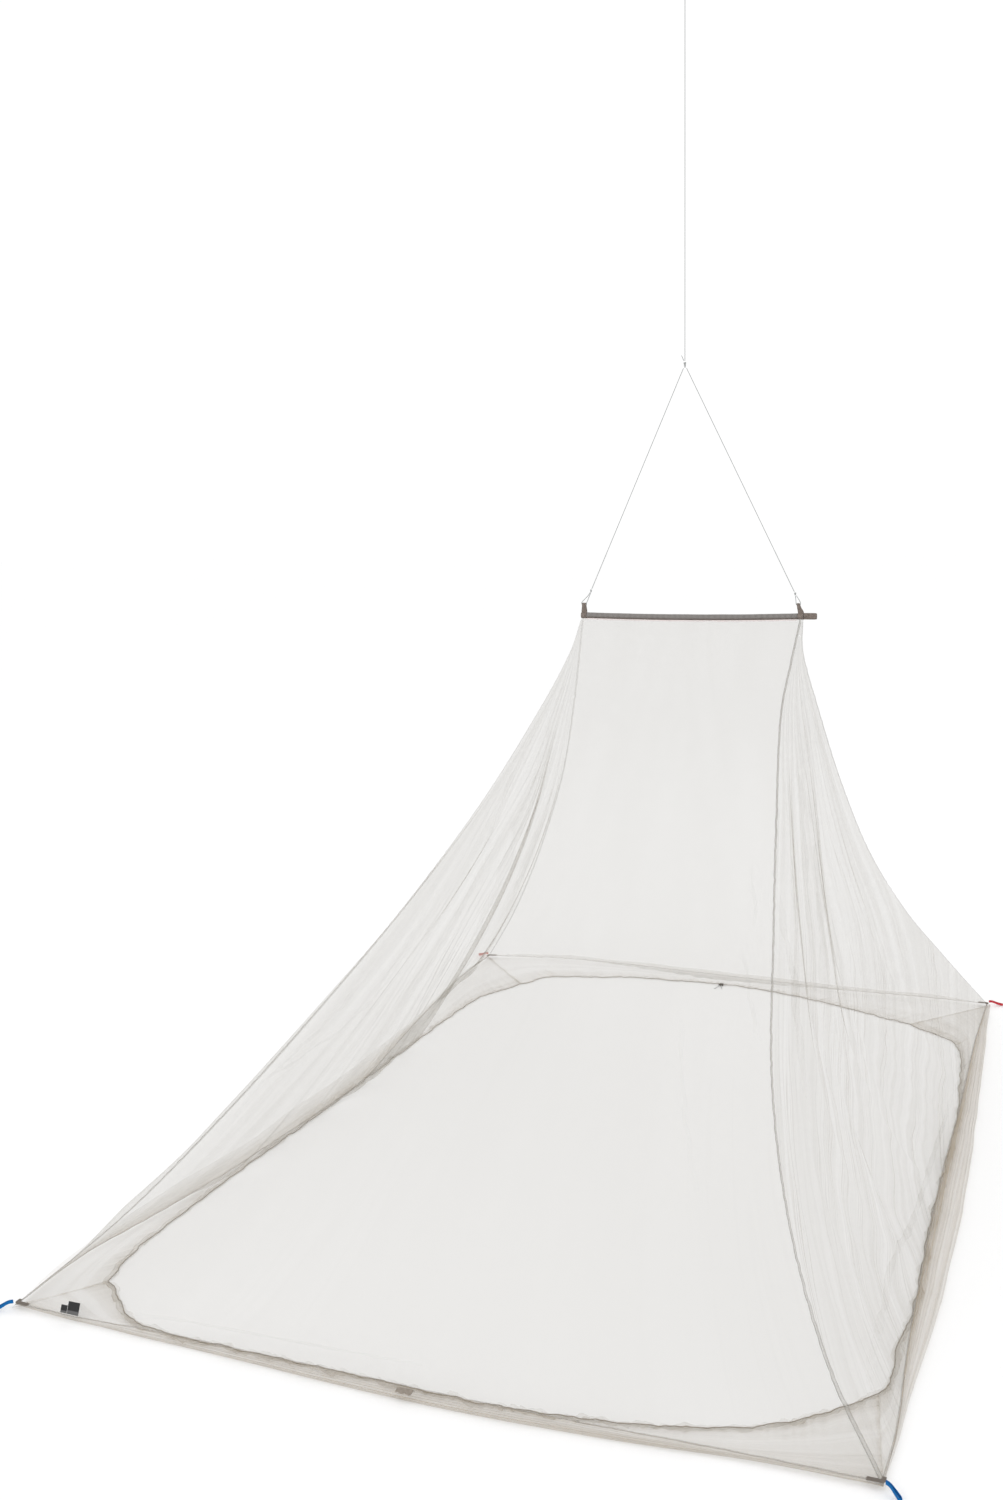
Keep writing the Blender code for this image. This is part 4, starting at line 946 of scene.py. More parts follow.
def between(start, end, start_gap, end_gap, count):
    """Points on a straight cord that starts and ends a little inside its two knots."""
    way = (end - start).normalized()
    first, last = start + way * start_gap, end - way * end_gap
    return [first.lerp(last, k / count) for k in range(count + 1)]


def route(table):
    return curve_through([(x, BAR_Y, z) for x, z in table], 4)


def lock_frame():
    """The cord lock's middle on the floor plan, the rim's heading and the way inwards."""
    back = EDGES[2]
    before, after = rim_point(back, TOGGLE_T - TOGGLE_REACH), rim_point(back, TOGGLE_T + TOGGLE_REACH)
    heading = unit(before - after)
    inwards = np.array((heading[1], -heading[0], 0.0))
    middle = rim_point(back, TOGGLE_T) + inwards * (TOGGLE_STAND_OFF + TOGGLE_HALF_DEPTH)
    return middle * (1, 1, 0), heading, inwards


def add_cords():
    cord = plain_finish("cord", (0.42, 0.43, 0.43), 0.7, grain=900.0)
    for side, table, spread in (("left", LEFT_LOOP_ROUTE, -1), ("right", RIGHT_LOOP_ROUTE, 1)):
        middle = BRIDLE_KNOTS[side]
        tied = knot("bridle_knot_" + side, middle, BRIDLE_KNOT_HALF, cord)
        free_cord("bridle_loop_" + side, route(table), "knot", "taut", cord)
        meeting = APEX + Vector((spread * APEX_SPREAD, 0, -APEX_DROP))
        line = between(middle, meeting, *BRIDLE_GAPS, 10)
        free_cord("bridle_cord_" + side, line, "knot", "taut", cord, with_pieces=[tied])
    apex = knot("apex_knot", APEX, APEX_KNOT_HALF, cord)
    tail = tube("apex_knot_tail", route(APEX_TAIL_ROUTE), CORD_RADIUS, cord)
    top = knot("hanging_knot", TOP_KNOT, BRIDLE_KNOT_HALF, cord)
    line = between(APEX, TOP_KNOT, *LONG_CORD_GAPS, 12)
    free_cord("hanging_cord", line, "knot", "taut", cord, with_pieces=[apex, tail, top])
    free_cord("hanging_loop", route(HANG_LOOP_ROUTE), "knot", "hanging", cord)
    middle, heading, inwards = lock_frame()
    face = middle + inwards * TOGGLE_HALF_DEPTH
    for side, table in CORD_END_ROUTES.items():
        across, front, height = np.array(table).T[..., None]
        points = face + heading * across + inwards * front + UP * height
        free_cord("drawcord_end_" + side, curve_through(points, 5), "bare", "loose", cord)


# ---------------------------------------------------------------- net walls
def wall_base(edge, t, way):
    """The wall without folds: between its ridges, sagging, drawn in to its hem."""
    start, end = ridge_point(edge.start, way), ridge_point(edge.end, way)
    point = start + (end - start) * t[..., None]
    sag = WALL_SAG * 4 * t * (1 - t) * smooth(SAG_BY_WAY, 1, way)
    point[..., 2] = smooth(RIDGES, HEIGHT, way) + follow_bar(point[..., 0], way) - sag
    low_start, low_end = ridge_point(edge.start, 1.0), ridge_point(edge.end, 1.0)
    straight = low_start + (low_end - low_start) * t[..., None]
    return point + (hem_point(edge, t) - straight) * way[..., None] ** 3


def surface_normals(grid, out):
    """Unit normals of a grid of points, on the side that faces out."""
    normals = unit(np.cross(np.gradient(grid, axis=0), np.gradient(grid, axis=1)))
    flip = np.sign((normals * out).sum(axis=-1, keepdims=True))
    return normals * np.where(flip == 0, 1, flip)


def wall_relief(edge, t, way, width):
    """Height of the folds and ripples at each place of a wall."""
    height = np.zeros_like(t)
    for *fold_ways, fold_width, fold_height in FOLDS[edge.name]:
        middle = smooth(tuple(zip(FOLD_WAYS, fold_ways)), 1, way)
        away = (t - middle) * width / fold_width
        height += fold_height * np.exp(-away * away)
    place = t * WALL_RIPPLE_SPREAD + 0.10 * np.sin(3 * way)
    ripple = waves(ord(edge.name[0]), place, WALL_RIPPLE_LENGTHS, 9)
    height += WALL_RIPPLE * ripple * ramp(way, 0.0, 0.4)
    sides = ramp(np.minimum(t, 1 - t) * width, 0.0, 0.07)
    ends = ramp(way, 0.02, 0.25) * (1 - ramp(way, 0.90, 1.0))
    return height * sides * ends


class Wall:
    """A wall's grid of points, and what lies at any part of its width and way down."""

    def __init__(self, edge):
        self.edge = edge
        t, way = np.meshgrid(np.linspace(0, 1, edge.columns + 1),
                             np.linspace(edge.top_row, 1, edge.rows + 1))
        self.t, self.way = t, way
        base = wall_base(edge, t, way)
        relief = wall_relief(edge, t, way, self.width(way))
        self.grid = base + surface_normals(base, outward(edge)) * relief[..., None]
        self.grid[..., 2] = np.maximum(self.grid[..., 2], WALL_LOW_Z)
        self.normals = surface_normals(self.grid, outward(edge))
        self.height = line_length(self.grid[:, edge.columns // 2])

    def width(self, way):
        across = ridge_point(self.edge.end, way) - ridge_point(self.edge.start, way)
        return np.linalg.norm(across, axis=-1)

    def sample(self, grid, t, way):
        """A grid's values between its rows and columns."""
        edge = self.edge
        column = np.clip(t, 0, 1) * edge.columns
        row = np.clip((way - edge.top_row) / (1 - edge.top_row), 0, 1) * edge.rows
        left = np.minimum(column.astype(int), edge.columns - 1)
        above = np.minimum(row.astype(int), edge.rows - 1)
        right_part, low_part = (column - left)[..., None], (row - above)[..., None]
        high = grid[above, left] * (1 - right_part) + grid[above, left + 1] * right_part
        low = grid[above + 1, left] * (1 - right_part) + grid[above + 1, left + 1] * right_part
        return high * (1 - low_part) + low * low_part

    def streak_place(self, t, way):
        """Where the streaks run: fanning from the bar, and hanging upright low in some walls."""
        hanging = UPRIGHT_STREAKS.get(self.edge.name, 0.0)
        return t + hanging * np.maximum(way - 0.40, 0) ** 2 * ramp(t, -0.2, 0.5)

    def first_layer(self):
        return Patch(self.grid, self.streak_place(self.t, self.way), self.way, self.edge.layers)

    def pleat(self, number, pleat):
        """The doubled net of one pleat, on the wall's first layer."""
        line = curve_through(pleat.route, 14)
        way, t = line[:, 0], line[:, 1]
        length = lengths_along(np.stack((way * self.height, t * self.width(way)), axis=-1))
        t = t + PLEAT_SWAY * waves(140 + number, length, (0.06, 0.2), 4) / self.width(way)
        ahead = unit(np.stack((np.gradient(way) * self.height, np.gradient(t) * self.width(way)), axis=-1))
        parts = np.array(PLEAT_SECTION)
        uneven = np.clip(1 + 0.25 * waves(160 + number, length, (0.05, 0.25), 5), 0.6, 1.5)
        reach = parts[:, 0] * pleat.half_width * uneven[:, None]
        way = way[:, None] - ahead[:, 1:] * reach / self.height
        t = t[:, None] + ahead[:, :1] * reach / self.width(way)
        grid = self.sample(self.grid, t, way) + self.sample(self.normals, t, way) * PLEAT_LIFT
        shown = ramp(length, 0.0, 0.25 * length[-1]) * (1 - ramp(length, 0.7 * length[-1], length[-1]))
        amount = (parts[:, 1] * pleat.thicker + parts[:, 2] * pleat.edge) * shown[:, None]
        return Patch(grid, self.streak_place(t, way), way, amount)


def add_walls():
    """The four walls: the front and back are stretched flat, and both sides hang in streaks."""
    quiet = net_finish("net_wall", NET_COLOUR, NET_ALPHA, (24.0, 1.2), 0.05, WALL_THREADS, 0.09)
    streaky = net_finish("net_wall_streaky", NET_COLOUR, NET_ALPHA, (70.0, 1.6), 0.85, WALL_THREADS, 0.60)
    finishes = {"front": quiet, "right": streaky, "back": quiet, "left": streaky}
    for edge in EDGES:
        wall = Wall(edge)
        pleats = [wall.pleat(*numbered) for numbered in enumerate(PLEATS[edge.name])]
        made = patched("net_wall_" + edge.name, finishes[edge.name], "net", wall.first_layer(), *pleats)


# ---------------------------------------------------------------- seams and tapes
def add_strip(name, finish, middle, side, normal, half_width, length, amount=1.0):
    """A seam's strip along a line of points, a little raised in its middle."""
    share = np.linspace(-1, 1, SEAM_COLUMNS)
    half_width = np.broadcast_to(half_width, len(middle))
    grid = (middle[:, None] + side[:, None] * (half_width[:, None] * share)[..., None]
            + normal[:, None] * (SEAM_CROWN * (1 - share ** 2))[None, :, None])
    patched(name, finish, "seam", Patch(grid, (share + 1) / 2, length, amount))


def add_ridge_seams():
    finish = seam_finish("ridge_seam", (0.40, 0.385, 0.35), (0.22, 0.21, 0.19), 0.50)
    for number, (corner, (density, half_width)) in enumerate(SEAM_LOOKS.items()):
        ways = np.linspace(0.001, 0.998, 300)
        middle = ridge_point(corner, ways)
        along = unit(np.gradient(middle, axis=0))
        out = sum(outward(edge) for edge in EDGES if corner in (edge.start, edge.end))
        normal = unit(out - along * (along @ out)[:, None])
        side = np.cross(along, normal)
        length = lengths_along(middle)
        calm = ramp(ways, 0.0, 0.08) * (1 - ramp(ways, 0.9, 1.0))
        sway = calm * SEAM_SWAY * waves(60 + number, length, (0.02, 0.09))
        ripple = calm * SEAM_RIPPLE * waves(70 + number, length, (0.012, 0.05))
        middle = middle + side * sway[:, None] + normal * ripple[:, None]
        spread = half_width * (1 + 0.5 * ramp(ways, 0.75, 0.95) * (corner == "front_right"))
        amount = smooth(tuple(zip(SEAM_WAYS, density)), 1, ways)[:, None]
        add_strip("ridge_seam_" + corner, finish, middle, side, normal, spread, length, amount)


def add_hem_tapes():
    finish = seam_finish("hem_tape", (0.40, 0.375, 0.335), (0.24, 0.225, 0.20), 0.45)
    for number, edge in enumerate(EDGES):
        line = hem_point(edge, np.linspace(0, 1, 260))
        side = np.cross(unit(np.gradient(line, axis=0)), UP)
        length = lengths_along(line)
        line = line + UP * (SEAM_RIPPLE * waves(80 + number, length, (0.03, 0.12)))[:, None]
        normal = np.broadcast_to(UP, line.shape)
        add_strip("hem_tape_" + edge.name, finish, line, side, normal, HEM_TAPE_HALF, length)


# ---------------------------------------------------------------- floor skirts and rim
def skirt_patch(edge, number):
    """A skirt: from the hem over its bulge, back along the floor, and up in gathers to the rim."""
    t = np.linspace(0, 1, SKIRT_COLUMNS + 1)
    along, inner_along = hem_along(edge, t), rim_along(edge, t)
    near_start, near_end = np.abs(along - along[0]), np.abs(along - along[-1])
    from_corner = np.minimum(near_start, near_end)
    drawn = np.zeros_like(t)
    for corner, length in SKIRT_TAPERS[edge.name]:
        away = np.abs(along - along_of(edge, ridge_point(corner, 1.0)))
        drawn = np.maximum(drawn, 1 - ramp(away, 0.0, length))
    seam = -smooth(edge.hem, SEAM_IN, along)
    rim = -smooth(edge.hem, RIM_IN, inner_along)
    whole_width = np.maximum(smooth(edge.hem, POUF_OUT, along), seam + SKIRT_LEAST) - seam
    at_corner = 1 - ramp(from_corner, 0.0, SKIRT_CORNER_REACH)
    wide = whole_width * (1 - SKIRT_DRAW_IN * at_corner) * (1 - SKIRT_DRAW_IN * drawn)
    reach = seam + wide
    to_start, to_end = (np.clip(1 - near / SKIRT_MITRE, 0, 1) for near in (near_start, near_end))
    mitre = np.sign(along[-1] - along[0]) * (to_end - to_start)
    share = np.abs(mitre)
    rise = np.minimum(SKIRT_RISE, SKIRT_STEEPEST * wide) * ramp(from_corner, *SKIRT_CORNER)
    half_out = 0.5 * (reach * (1 - share) + seam * share + rim)

    def lifted(z, part):
        return z + part * drawn * (HEM_Z - z)

    stops = (
        # along, out, height
        (along, seam, HEM_Z),
        (along + mitre * CREST * wide, seam + CREST * wide, HEM_Z + rise),
        (along + mitre * BROW * wide, seam + BROW * wide, HEM_Z + BROW_RISE * rise),
        (along + mitre * wide, reach, lifted(NOSE_Z, NOSE_LIFT)),
        (along + mitre * BROW * wide, seam + BROW * wide, lifted(UNDER_Z, UNDER_LIFT)),
        (0.5 * (along + inner_along), half_out, lifted(SKIRT_LOW_Z, LOW_LIFT)),
        (inner_along, rim, RIM_Z),
    )
    stops = np.array([[np.broadcast_to(v, t.shape) for v in stop] for stop in stops])
    section = curve_through(stops.reshape(len(stops), -1), SKIRT_STEPS).reshape(-1, 3, len(t))
    down = np.linspace(0, len(stops) - 1, len(section))[:, None]
    seed = 10 * (1 + number)
    ends = ramp(from_corner, 0.0, 0.05)[None]
    gather = ramp(down, *GATHER_STOPS)
    pleats = waves(seed, inner_along, GATHER_LENGTHS, SKIRT_WAVES)[None]
    shift = waves(seed + 1, inner_along, SHIFT_LENGTHS, SKIRT_WAVES)[None]
    lumps = waves(seed + 2, along, LUMP_LENGTHS, SKIRT_WAVES)[None]
    lumps = lumps * np.sin(np.clip(down / 4, 0, 1) * math.pi)
    height = section[:, 2] + ends * (GATHER_RISE * gather * (1 + pleats) + LUMP_RISE * lumps)
    places = section[:, 0] + ends * GATHER_SHIFT * gather * shift
    outs = section[:, 1] + ends * LUMP_OUT * lumps
    grid = edge_point(edge, places, outs, np.maximum(height, CLOTH_LOW_Z))
    layers = smooth(SKIRT_LAYERS, 1 + number, down[:, 0])[:, None]
    seams = np.exp(-(np.minimum(t, 1 - t) * SKIRT_COLUMNS) ** 2)
    thicker = layers + 0.25 * gather * np.abs(pleats) + 1.1 * seams
    return Patch(grid, along, down / 12, thicker)


def add_skirts():
    net = net_finish("net_skirt", SKIRT_COLOUR, NET_ALPHA, (1.6, 60.0), 0.7, SKIRT_THREADS, 1.0)
    for number, edge in enumerate(EDGES):
        patch = skirt_patch(edge, number)
        made = patched("floor_skirt_" + edge.name, net, "net", patch)


def rim_line():
    """The rim's whole round, as evenly spaced points, with the length at each."""
    points = np.concatenate([rim_point(edge, np.linspace(0, 1, 200))[1:] for edge in EDGES])
    closed = np.vstack((points, points[:1]))
    length = lengths_along(closed)
    count = int(length[-1] / RIM_STEP)
    at = np.arange(count) * length[-1] / count
    line = np.stack([np.interp(at, length, closed[:, k]) for k in range(3)], axis=-1)
    for _ in range(3):
        line = (np.roll(line, 1, axis=0) + 2 * line + np.roll(line, -1, axis=0)) / 4
    return line, at, length[-1]


def add_rim():
    """The drawn rim: a cord in its casing, and the casing's gathers on both sides of it."""
    line, at, whole = rim_line()
    ahead = unit(np.roll(line, -1, axis=0) - np.roll(line, 1, axis=0))
    side = unit(np.cross(UP, ahead))
    sway = RIM_SWAY * waves(91, at, (0.05, 0.16), 9, whole)
    sway = sway + RIM_JITTER * waves(92, at, (0.014, 0.04), 9, whole)
    middle = line + side * sway[:, None]
    middle[:, 2] = RIM_Z + RIM_JITTER * waves(93, at, (0.015, 0.05), 9, whole)
    tube("rim_drawcord", middle, RIM_CORD_RADIUS, casing_finish(), closed=True)
    share = np.linspace(-1, 1, 11)
    rows = []
    for part in share:
        frill = OUTER_FRILL if part < 0 else INNER_FRILL
        wave = waves(frill.seed, at, (0.014, 0.040), 12, whole)
        reach = FRILL_UNEVEN * waves(frill.seed + 2, at, (0.04, 0.20), 9, whole)
        reach = np.clip((frill.least + frill.most) / FRILL_USUAL + reach, frill.least, frill.most)
        spot = middle + side * (reach * part)[:, None]
        spot = spot + ahead * (FRILL_SHIFT * abs(part) * np.roll(wave, 2))[:, None]
        rise = FRILL_RISE * abs(part) ** 1.3 * (1.1 + wave)
        spot[:, 2] = np.maximum(FRILL_Z + rise, CLOTH_LOW_Z)
        rows.append(spot)
    grid = np.stack(rows, axis=0)
    amount = np.where(share < 0, OUTER_FRILL.layers, INNER_FRILL.layers)
    amount = (amount * (1.0 + 0.6 * ramp(np.abs(share), 0.75, 1.0)))[:, None]
    amount = amount * (1.0 - 0.55 * ramp(middle[:, 1], -0.6, 0.9))[None]
    net = net_finish("rim_gathers", SKIRT_COLOUR, FRILL_ALPHA, (60.0, 40.0), 0.8, SKIRT_THREADS, 0.9)
    patch = Patch(grid, np.append(at, whole), share / 40, amount, True)
    made = patched("rim_gathers", net, "net", patch, stands_for=False)


# ---------------------------------------------------------------- bar
def add_sleeve():
    """The bar's sleeve: a closed tube of cloth with faint creases."""
    x = np.linspace(SLEEVE_LEFT_X, SLEEVE_RIGHT_X, SLEEVE_ROWS)[:, None]
    angle = circle(SLEEVE_COLUMNS)
    creases = SLEEVE_CREASE * waves(31, x * 0.35 + angle * 0.02, (0.01, 0.05), 6)
    radius = SLEEVE_RADIUS - SLEEVE_INSET + creases * (1 + np.cos(3 * angle)) / 2
    flat = 1 + SLEEVE_FLAT * np.sin(angle)
    grid = spots(x, BAR_Y + radius * np.cos(angle) / flat, bar_height(x) + radius * np.sin(angle))
    # Painted shade: this share is 1 on the sleeve's lit top and falls to 0 on its underside, which the
    # sleeve's finish paints darker and browner.
    painted_light_on_top = ramp(np.sin(angle), -0.75, 0.1)
    patch = Patch(grid, np.linspace(0, 1, SLEEVE_COLUMNS + 1), x, painted_light_on_top, True)
    made = patched("bar_sleeve", sleeve_finish(), "sleeve_cloth", patch)


def add_sleeve_end(webbing):
    """The sleeve's flat end beyond the right tab."""
    length = FLAP_RIGHT_X - FLAP_LEFT_X
    x, half, rise = (column[:, None] for column in curve_through(
        [(FLAP_LEFT_X + length * part, half, -FLAP_DROP * part) for part, half in FLAP_SECTIONS], 10).T)
    angle = circle(SLEEVE_COLUMNS)
    end = ramp(x, FLAP_RIGHT_X - FLAP_TAPER_LENGTH, FLAP_RIGHT_X)
    height = FLAP_HALF_HEIGHT * (1 - FLAP_TAPER * end)
    grid = spots(x, BAR_Y + half * np.cos(angle), bar_height(x) + rise + height * np.sin(angle))
    patch = Patch(grid, np.linspace(0, 1, SLEEVE_COLUMNS + 1) * SLEEVE_GIRTH, x, 0.9, True)
    made = patched("bar_sleeve_end", webbing, "sleeve_cloth", patch)


def add_bar_tab(webbing, name, x, top_shift, top_width):
    """Webbing round the bar's end, its two layers sewn together above the bar."""
    lean = math.asin(TAB_HALF_GAP / TAB_RING)
    turn = np.linspace(math.pi / 2 + lean, 2.5 * math.pi - lean, 33)
    bend = np.linspace(0, math.pi, 9)[1:-1]
    rises = np.array((*TAB_LAYER_RISES, TAB_RISE))
    gap = np.full(len(rises), TAB_HALF_GAP)
    y = np.concatenate((TAB_RING * np.cos(turn), gap, TAB_HALF_GAP * np.cos(bend), -gap))
    up = np.concatenate((TAB_RING * np.sin(turn), rises,
                         TAB_RISE + TAB_HALF_GAP * np.sin(bend), rises[::-1]))
    side = np.linspace(-0.5, 0.5, 9)[:, None]
    part = ramp(up, SLEEVE_RADIUS, TAB_RISE)
    width = TAB_WIDTH + (top_width - TAB_WIDTH) * part
    grid = spots(x + top_shift * part + side * width, BAR_Y + y, bar_height(x) + up)
    stitched = 1 - 0.7 * sum(np.exp(-((up - rise) / STITCH_HALF) ** 2) for rise in TAB_STITCH_RISES)
    length = lengths_along(np.stack((y, up), axis=-1))
    around = np.append(length, length[-1] + TAB_CLOSING)
    patch = Patch(grid, around, side[:, 0] * TAB_WIDTH, stitched, True)
    thicken(patched("bar_tab_" + name, webbing, "webbing", patch), TAPE)


def add_sleeve_edge():
    """The pale edge of the sleeve's seam, which hangs below it in front."""
    x = np.linspace(SLEEVE_LEFT_X, SLEEVE_RIGHT_X, SLEEVE_ROWS)
    drop = np.linspace(0, 1, 4)[:, None]
    low = SLEEVE_EDGE_DROP + SLEEVE_EDGE_WAVE * waves(33, x, (0.03, 0.12))
    grid = spots(x, BAR_Y - SLEEVE_EDGE_OUT - SLEEVE_EDGE_LEAN * drop,
                 bar_height(x) - SLEEVE_EDGE_TOP - low * drop)
    edge = net_finish("sleeve_edge", (0.86, 0.74, 0.73), 0.6, (30.0, 2.0), 0.2, (600, 60))
    patched("sleeve_edge", edge, "net", Patch(grid, x[None], drop * SLEEVE_EDGE_CLOTH), stands_for=False)


# ---------------------------------------------------------------- corners and labels
def plate(name, outline, material, place):
    """A flat piece of webbing with stitches near its edge: an outline, put at a place."""
    bm = bmesh.new()
    layer = bm.loops.layers.uv.new("UVMap")
    amount = bm.verts.layers.float.new("thicker")
    corners = [bm.verts.new((x, y, 0.0)) for x, y in outline]
    face = bm.faces.new(corners)
    bmesh.ops.inset_region(bm, faces=[face], thickness=STITCH_INSET)
    for vertex in bm.verts:
        vertex[amount] = 0.35 if vertex in corners else 1.0
    for face in bm.faces:
        for loop in face.loops:
            loop[layer].uv = (loop.vert.co.x, loop.vert.co.y)
    mesh = bpy.data.meshes.new(name)
    bm.to_mesh(mesh)
    bm.free()
    mesh.transform(Matrix.Translation(-Vector(HANG_POINT)) @ place)
    thicken(piece(name, mesh, material), TAPE)


def corner_edges(corner):
    """The two edges that meet in a corner, each with the heading away from it."""
    found = []
    for edge in EDGES:
        if corner in (edge.start, edge.end):
            first = 0.0 if corner == edge.start else 1.0
            inner = abs(first - CORNER_REACH / abs(hem_along(edge, 1) - hem_along(edge, 0)))
            leg = unit(hem_point(edge, inner) - hem_point(edge, first))
            found.append((leg, outward(edge)))
    return found


def add_corner_tab(corner, webbing):
    """A webbing angle on the hem's corner, with its outer point cut off."""
    (leg_a, out_a), (leg_b, out_b) = corner_edges(corner)
    reach_a, reach_b = (CORNER_TAB_LEGS[abs(round(out[0]))] for out in (out_a, out_b))
    low = CORNER_TAB_OUT - CORNER_TAB_CHAMFER
    outline = [
        leg_a * reach_a + out_a * CORNER_TAB_OUT,
        leg_a * reach_a - out_a * CORNER_TAB_IN,
        (leg_a + leg_b) * CORNER_TAB_IN,
        leg_b * reach_b - out_b * CORNER_TAB_IN,
        leg_b * reach_b + out_b * CORNER_TAB_OUT,
        out_b * CORNER_TAB_OUT + out_a * low,
        out_a * CORNER_TAB_OUT + out_b * low,
    ]
    flat = [(point[0], point[1]) for point in outline]
    around = sum(a[0] * b[1] - b[0] * a[1] for a, b in zip(flat, flat[1:] + flat[:1]))
    if around < 0:
        flat.reverse()
    x, y, _ = ridge_point(corner, 1.0)
    plate("corner_tab_" + corner, flat, webbing, Matrix.Translation((x, y, CORNER_TAB_Z)))


def add_corner_loop(corner, shape, finish):
    """A loop of webbing for a peg, standing on its edge: out along its heading and back."""
    turns = np.radians(np.linspace(shape.start_degrees, shape.end_degrees, LOOP_STEPS + 1))
    headings = spots(np.cos(turns), np.sin(turns), 0.0)
    diagonal = unit(sum(out for leg, out in corner_edges(corner)))
    start = ridge_point(corner, 1.0) * (1, 1, 0) + diagonal * LOOP_START
    spine = start + np.cumsum(headings, axis=0) * shape.length / LOOP_STEPS
    across = np.cross(UP, headings)
    parts = np.linspace(0, 1, LOOP_STEPS + 1)
    half = smooth(LOOP_SHAPE, 1, parts) * np.sqrt(np.clip((1 - parts) / 0.10, 0, 1))
    spine[:, 2] = smooth(LOOP_SHAPE, 2, parts)
    out, back = (spine + across * (sign * half)[:, None] for sign in (1, -1))
    line = np.concatenate((out, back[-2:0:-1]))
    rows = np.linspace(-1, 1, 7)[:, None]
    grid = line + UP * (rows * LOOP_HALF_HEIGHT)[..., None]
    length = np.append(lengths_along(line), 2 * shape.length)
    amount = 1 - 0.5 * ramp(np.abs(rows), 0.75, 1.0)
    patch = Patch(grid, length, rows[:, 0] * LOOP_HALF_HEIGHT, amount, True)
    thicken(patched("corner_loop_" + corner, finish, shape.slot, patch), LOOP_CLOTH)


def add_corners(webbing):
    """Webbing angles on the hem's corners, and the loops that take the pegs."""
    finishes = {name: webbing_finish(name, *colours) for name, colours in LOOP_FINISHES.items()}
    for corner, shape in CORNER_LOOPS.items():
        add_corner_tab(corner, webbing)
        add_corner_loop(corner, shape, finishes[shape.finish])


def cloth_square(name, foot, side, up, size, thickness, material, slot, curl, ragged=0.0):
    """A small piece of cloth on a frame of its own, a little curled, with its lower edge at foot."""
    x, y = np.meshgrid(np.linspace(-0.5, 0.5, 25), np.linspace(0, 1, 15))
    side, up = unit(side), unit(up)
    normal = np.cross(side, up)
    bend = curl * ((2 * x) ** 2 * 0.6 + 0.4 * np.sin(5 * x + 2.0) * y)
    lower = ragged * (1 - y) * waves(len(name), x * size[0], (0.006, 0.02), 5)
    grid = (foot + side * (x * size[0])[..., None] + up * (y * size[1] + lower)[..., None]
            + normal * bend[..., None])
    spread = (1.0, 1.0) if slot == "label" else size
    thicken(patched(name, material, slot, Patch(grid, x * spread[0], y * spread[1])), thickness)


def add_labels(webbing):
    """Two plain labels in the front hem's seam, and a webbing tag on the front skirt."""
    front = EDGES[0]

    def foot(x):
        return edge_point(front, x, -smooth(front.hem, SEAM_IN, x) - HEM_STEP_OFF, HEM_Z)

    label = label_finish()
    for name, x, width, height in LABELS:
        side = foot(x + width / 2) - foot(x - width / 2)
        normal = unit(np.cross(side, LABEL_UP))
        low = foot(x) + unit(LABEL_UP) * LABEL_GAP + normal * LABEL_LIFT
        cloth_square(name, low, side, LABEL_UP, (width, height), LABEL_CLOTH, label, "label", LABEL_CURL)
    seam = -smooth(front.hem, SEAM_IN, HEM_TAG_X) + HEM_STEP_OFF
    wide = smooth(front.hem, POUF_OUT, HEM_TAG_X) - seam
    rise = min(SKIRT_RISE, SKIRT_STEEPEST * wide)
    crest = edge_point(front, HEM_TAG_X, seam + CREST * wide, HEM_Z + rise)
    brow = edge_point(front, HEM_TAG_X, seam + BROW * wide, HEM_Z + BROW_RISE * rise)
    side, up = np.array((1.0, 0, 0)), unit(crest - brow)
    low = (crest + brow) / 2 - up * HEM_TAG_SIZE[1] / 2 + np.cross(side, up) * HEM_TAG_LIFT
    cloth_square("front_hem_tag", low, side, up, HEM_TAG_SIZE, TAPE, webbing, "webbing",
                 HEM_TAG_CURL, HEM_TAG_RAGGED)


def rounded_block(middle, axes, half, power):
    """A block with round corners: its section is a superellipse, drawn in at both ends."""
    part = np.linspace(-1, 1, TOGGLE_ROWS)[:, None]
    angle = circle(TOGGLE_COLUMNS)
    full = (1 - np.abs(part) ** 6) ** 0.25
    across, up = (full * np.sign(turned) * np.abs(turned) ** power
                  for turned in (np.cos(angle), np.sin(angle)))
    local = spots(part * half[0], across * half[1], up * half[2])
    return Patch(middle + local @ np.array(axes), np.linspace(0, 1, TOGGLE_COLUMNS + 1), part, 1.0, True)


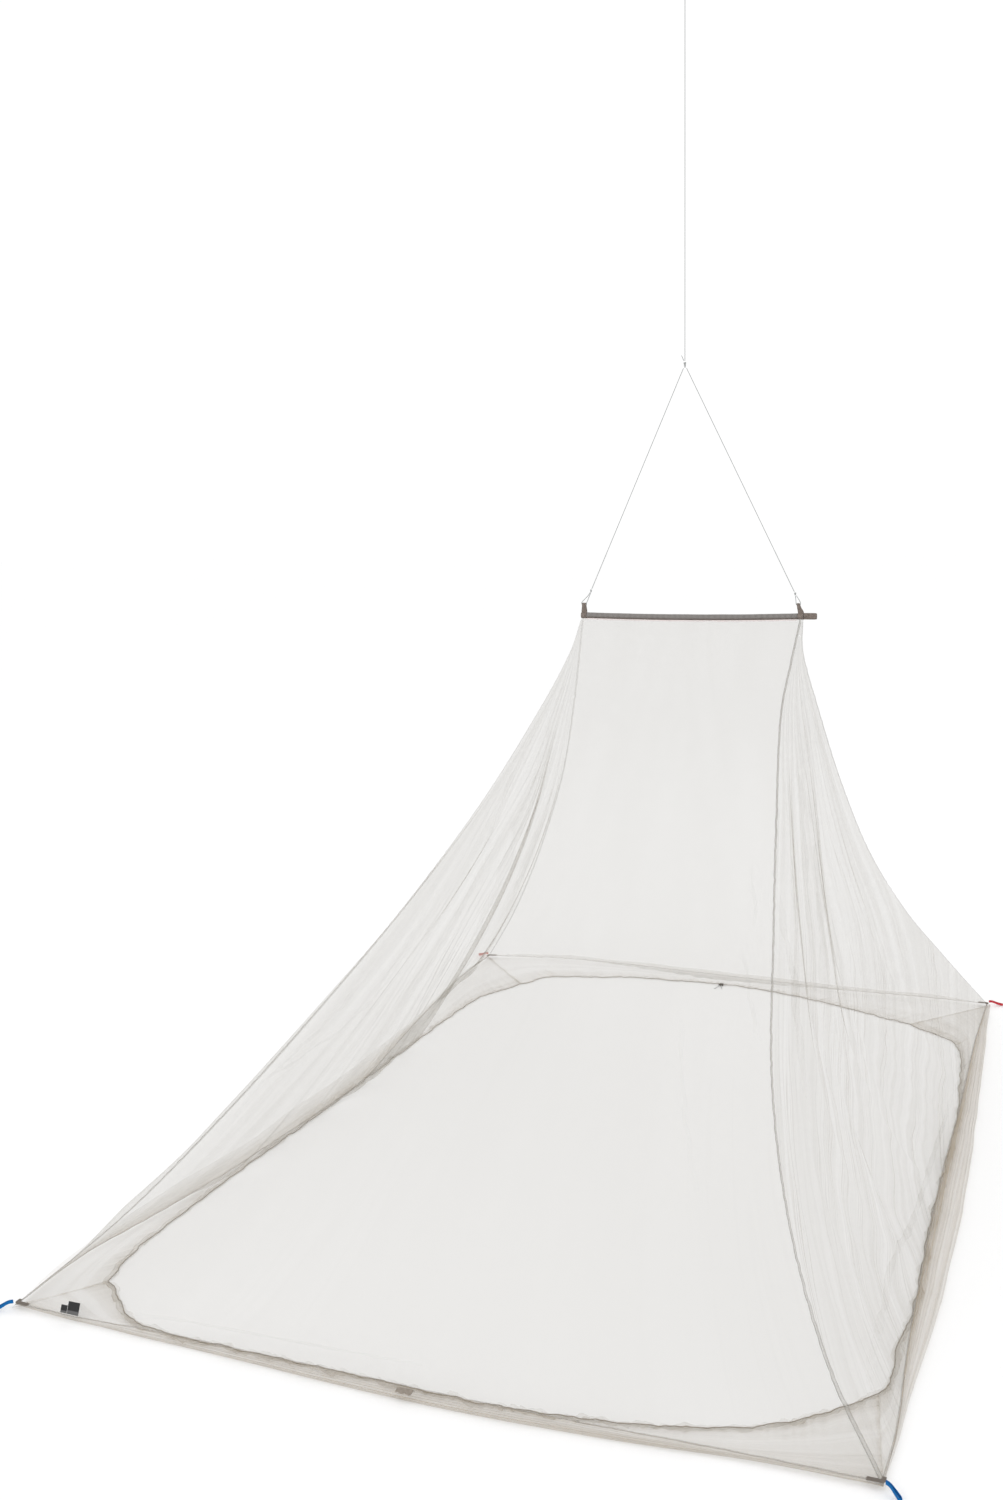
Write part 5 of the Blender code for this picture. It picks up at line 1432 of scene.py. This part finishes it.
def add_toggle():
    """The cord lock: a rounded body on its side, with its button and the button's collar."""
    middle, heading, inwards = lock_frame()
    middle = middle + UP * (TOGGLE_HALF_HEIGHT + TOGGLE_OFF_FLOOR)
    blocks = []
    for shift, length, share, power in TOGGLE_PARTS:
        half = (length, TOGGLE_HALF_DEPTH * share, TOGGLE_HALF_HEIGHT * share)
        blocks.append(rounded_block(middle + heading * shift, (heading, inwards, UP), half, power))
    finish = plain_finish("toggle", (0.050, 0.040, 0.032), 0.45, grain=700.0)
    patched("drawcord_toggle", finish, "toggle", *blocks)


def add_fittings():
    dark = webbing_finish("webbing", (0.33, 0.275, 0.24), (0.12, 0.098, 0.086))
    dull = webbing_finish("dull_webbing", (0.30, 0.26, 0.225), (0.16, 0.138, 0.12))
    pale = webbing_finish("pale_webbing", (0.44, 0.385, 0.33), (0.22, 0.19, 0.16))
    add_sleeve()
    add_sleeve_end(dark)
    for tab in BAR_TABS:
        add_bar_tab(dark, *tab)
    add_sleeve_edge()
    add_corners(dull)
    add_labels(pale)
    add_toggle()


# ---------------------------------------------------------------- floor and light
def add_stage():
    bpy.ops.mesh.primitive_circle_add(vertices=96, radius=60, fill_type="NGON")
    floor = bpy.context.object
    floor.name = "floor"
    floor.location = (0, 0, -HANG_POINT[2])
    floor.data.materials.append(Finish("floor", (0.97, 0.97, 0.97), 0.9, 0.0).material)
    world = bpy.data.worlds.new("white")
    world.use_nodes = True
    sky = world.node_tree.nodes["Background"].inputs
    sky["Color"].default_value = (1, 1, 1, 1)
    sky["Strength"].default_value = SKY_STRENGTH
    bpy.context.scene.world = world
    bpy.context.scene.view_settings.view_transform = "Standard"
    for name, place, power in LIGHTS:
        data = bpy.data.lights.new(name, "AREA")
        data.shape = "DISK"
        data.size = LIGHT_SIZE
        data.energy = power
        light = bpy.data.objects.new(name, data)
        aim = Vector(LIGHT_TARGET) - Vector(place)
        turned = aim.to_track_quat("-Z", "Y").to_matrix().to_4x4()
        light.matrix_world = Matrix.Translation(Vector(place) - Vector(HANG_POINT)) @ turned
        light.visible_camera = False
        bpy.context.scene.collection.objects.link(light)


def dress_bar():
    """The bar itself shows in the sleeve's open ends: drawn aluminium."""
    bar = nodes["spreader_bar"].data.materials
    bar.clear()
    bar.append(plain_finish("bar", (0.55, 0.56, 0.58), 0.35, 1.0))


# ---------------------------------------------------------------- making it all
add_camera()
add_cords()
add_walls()
add_ridge_seams()
add_hem_tapes()
add_skirts()
add_rim()
add_fittings()
add_stage()
dress_bar()
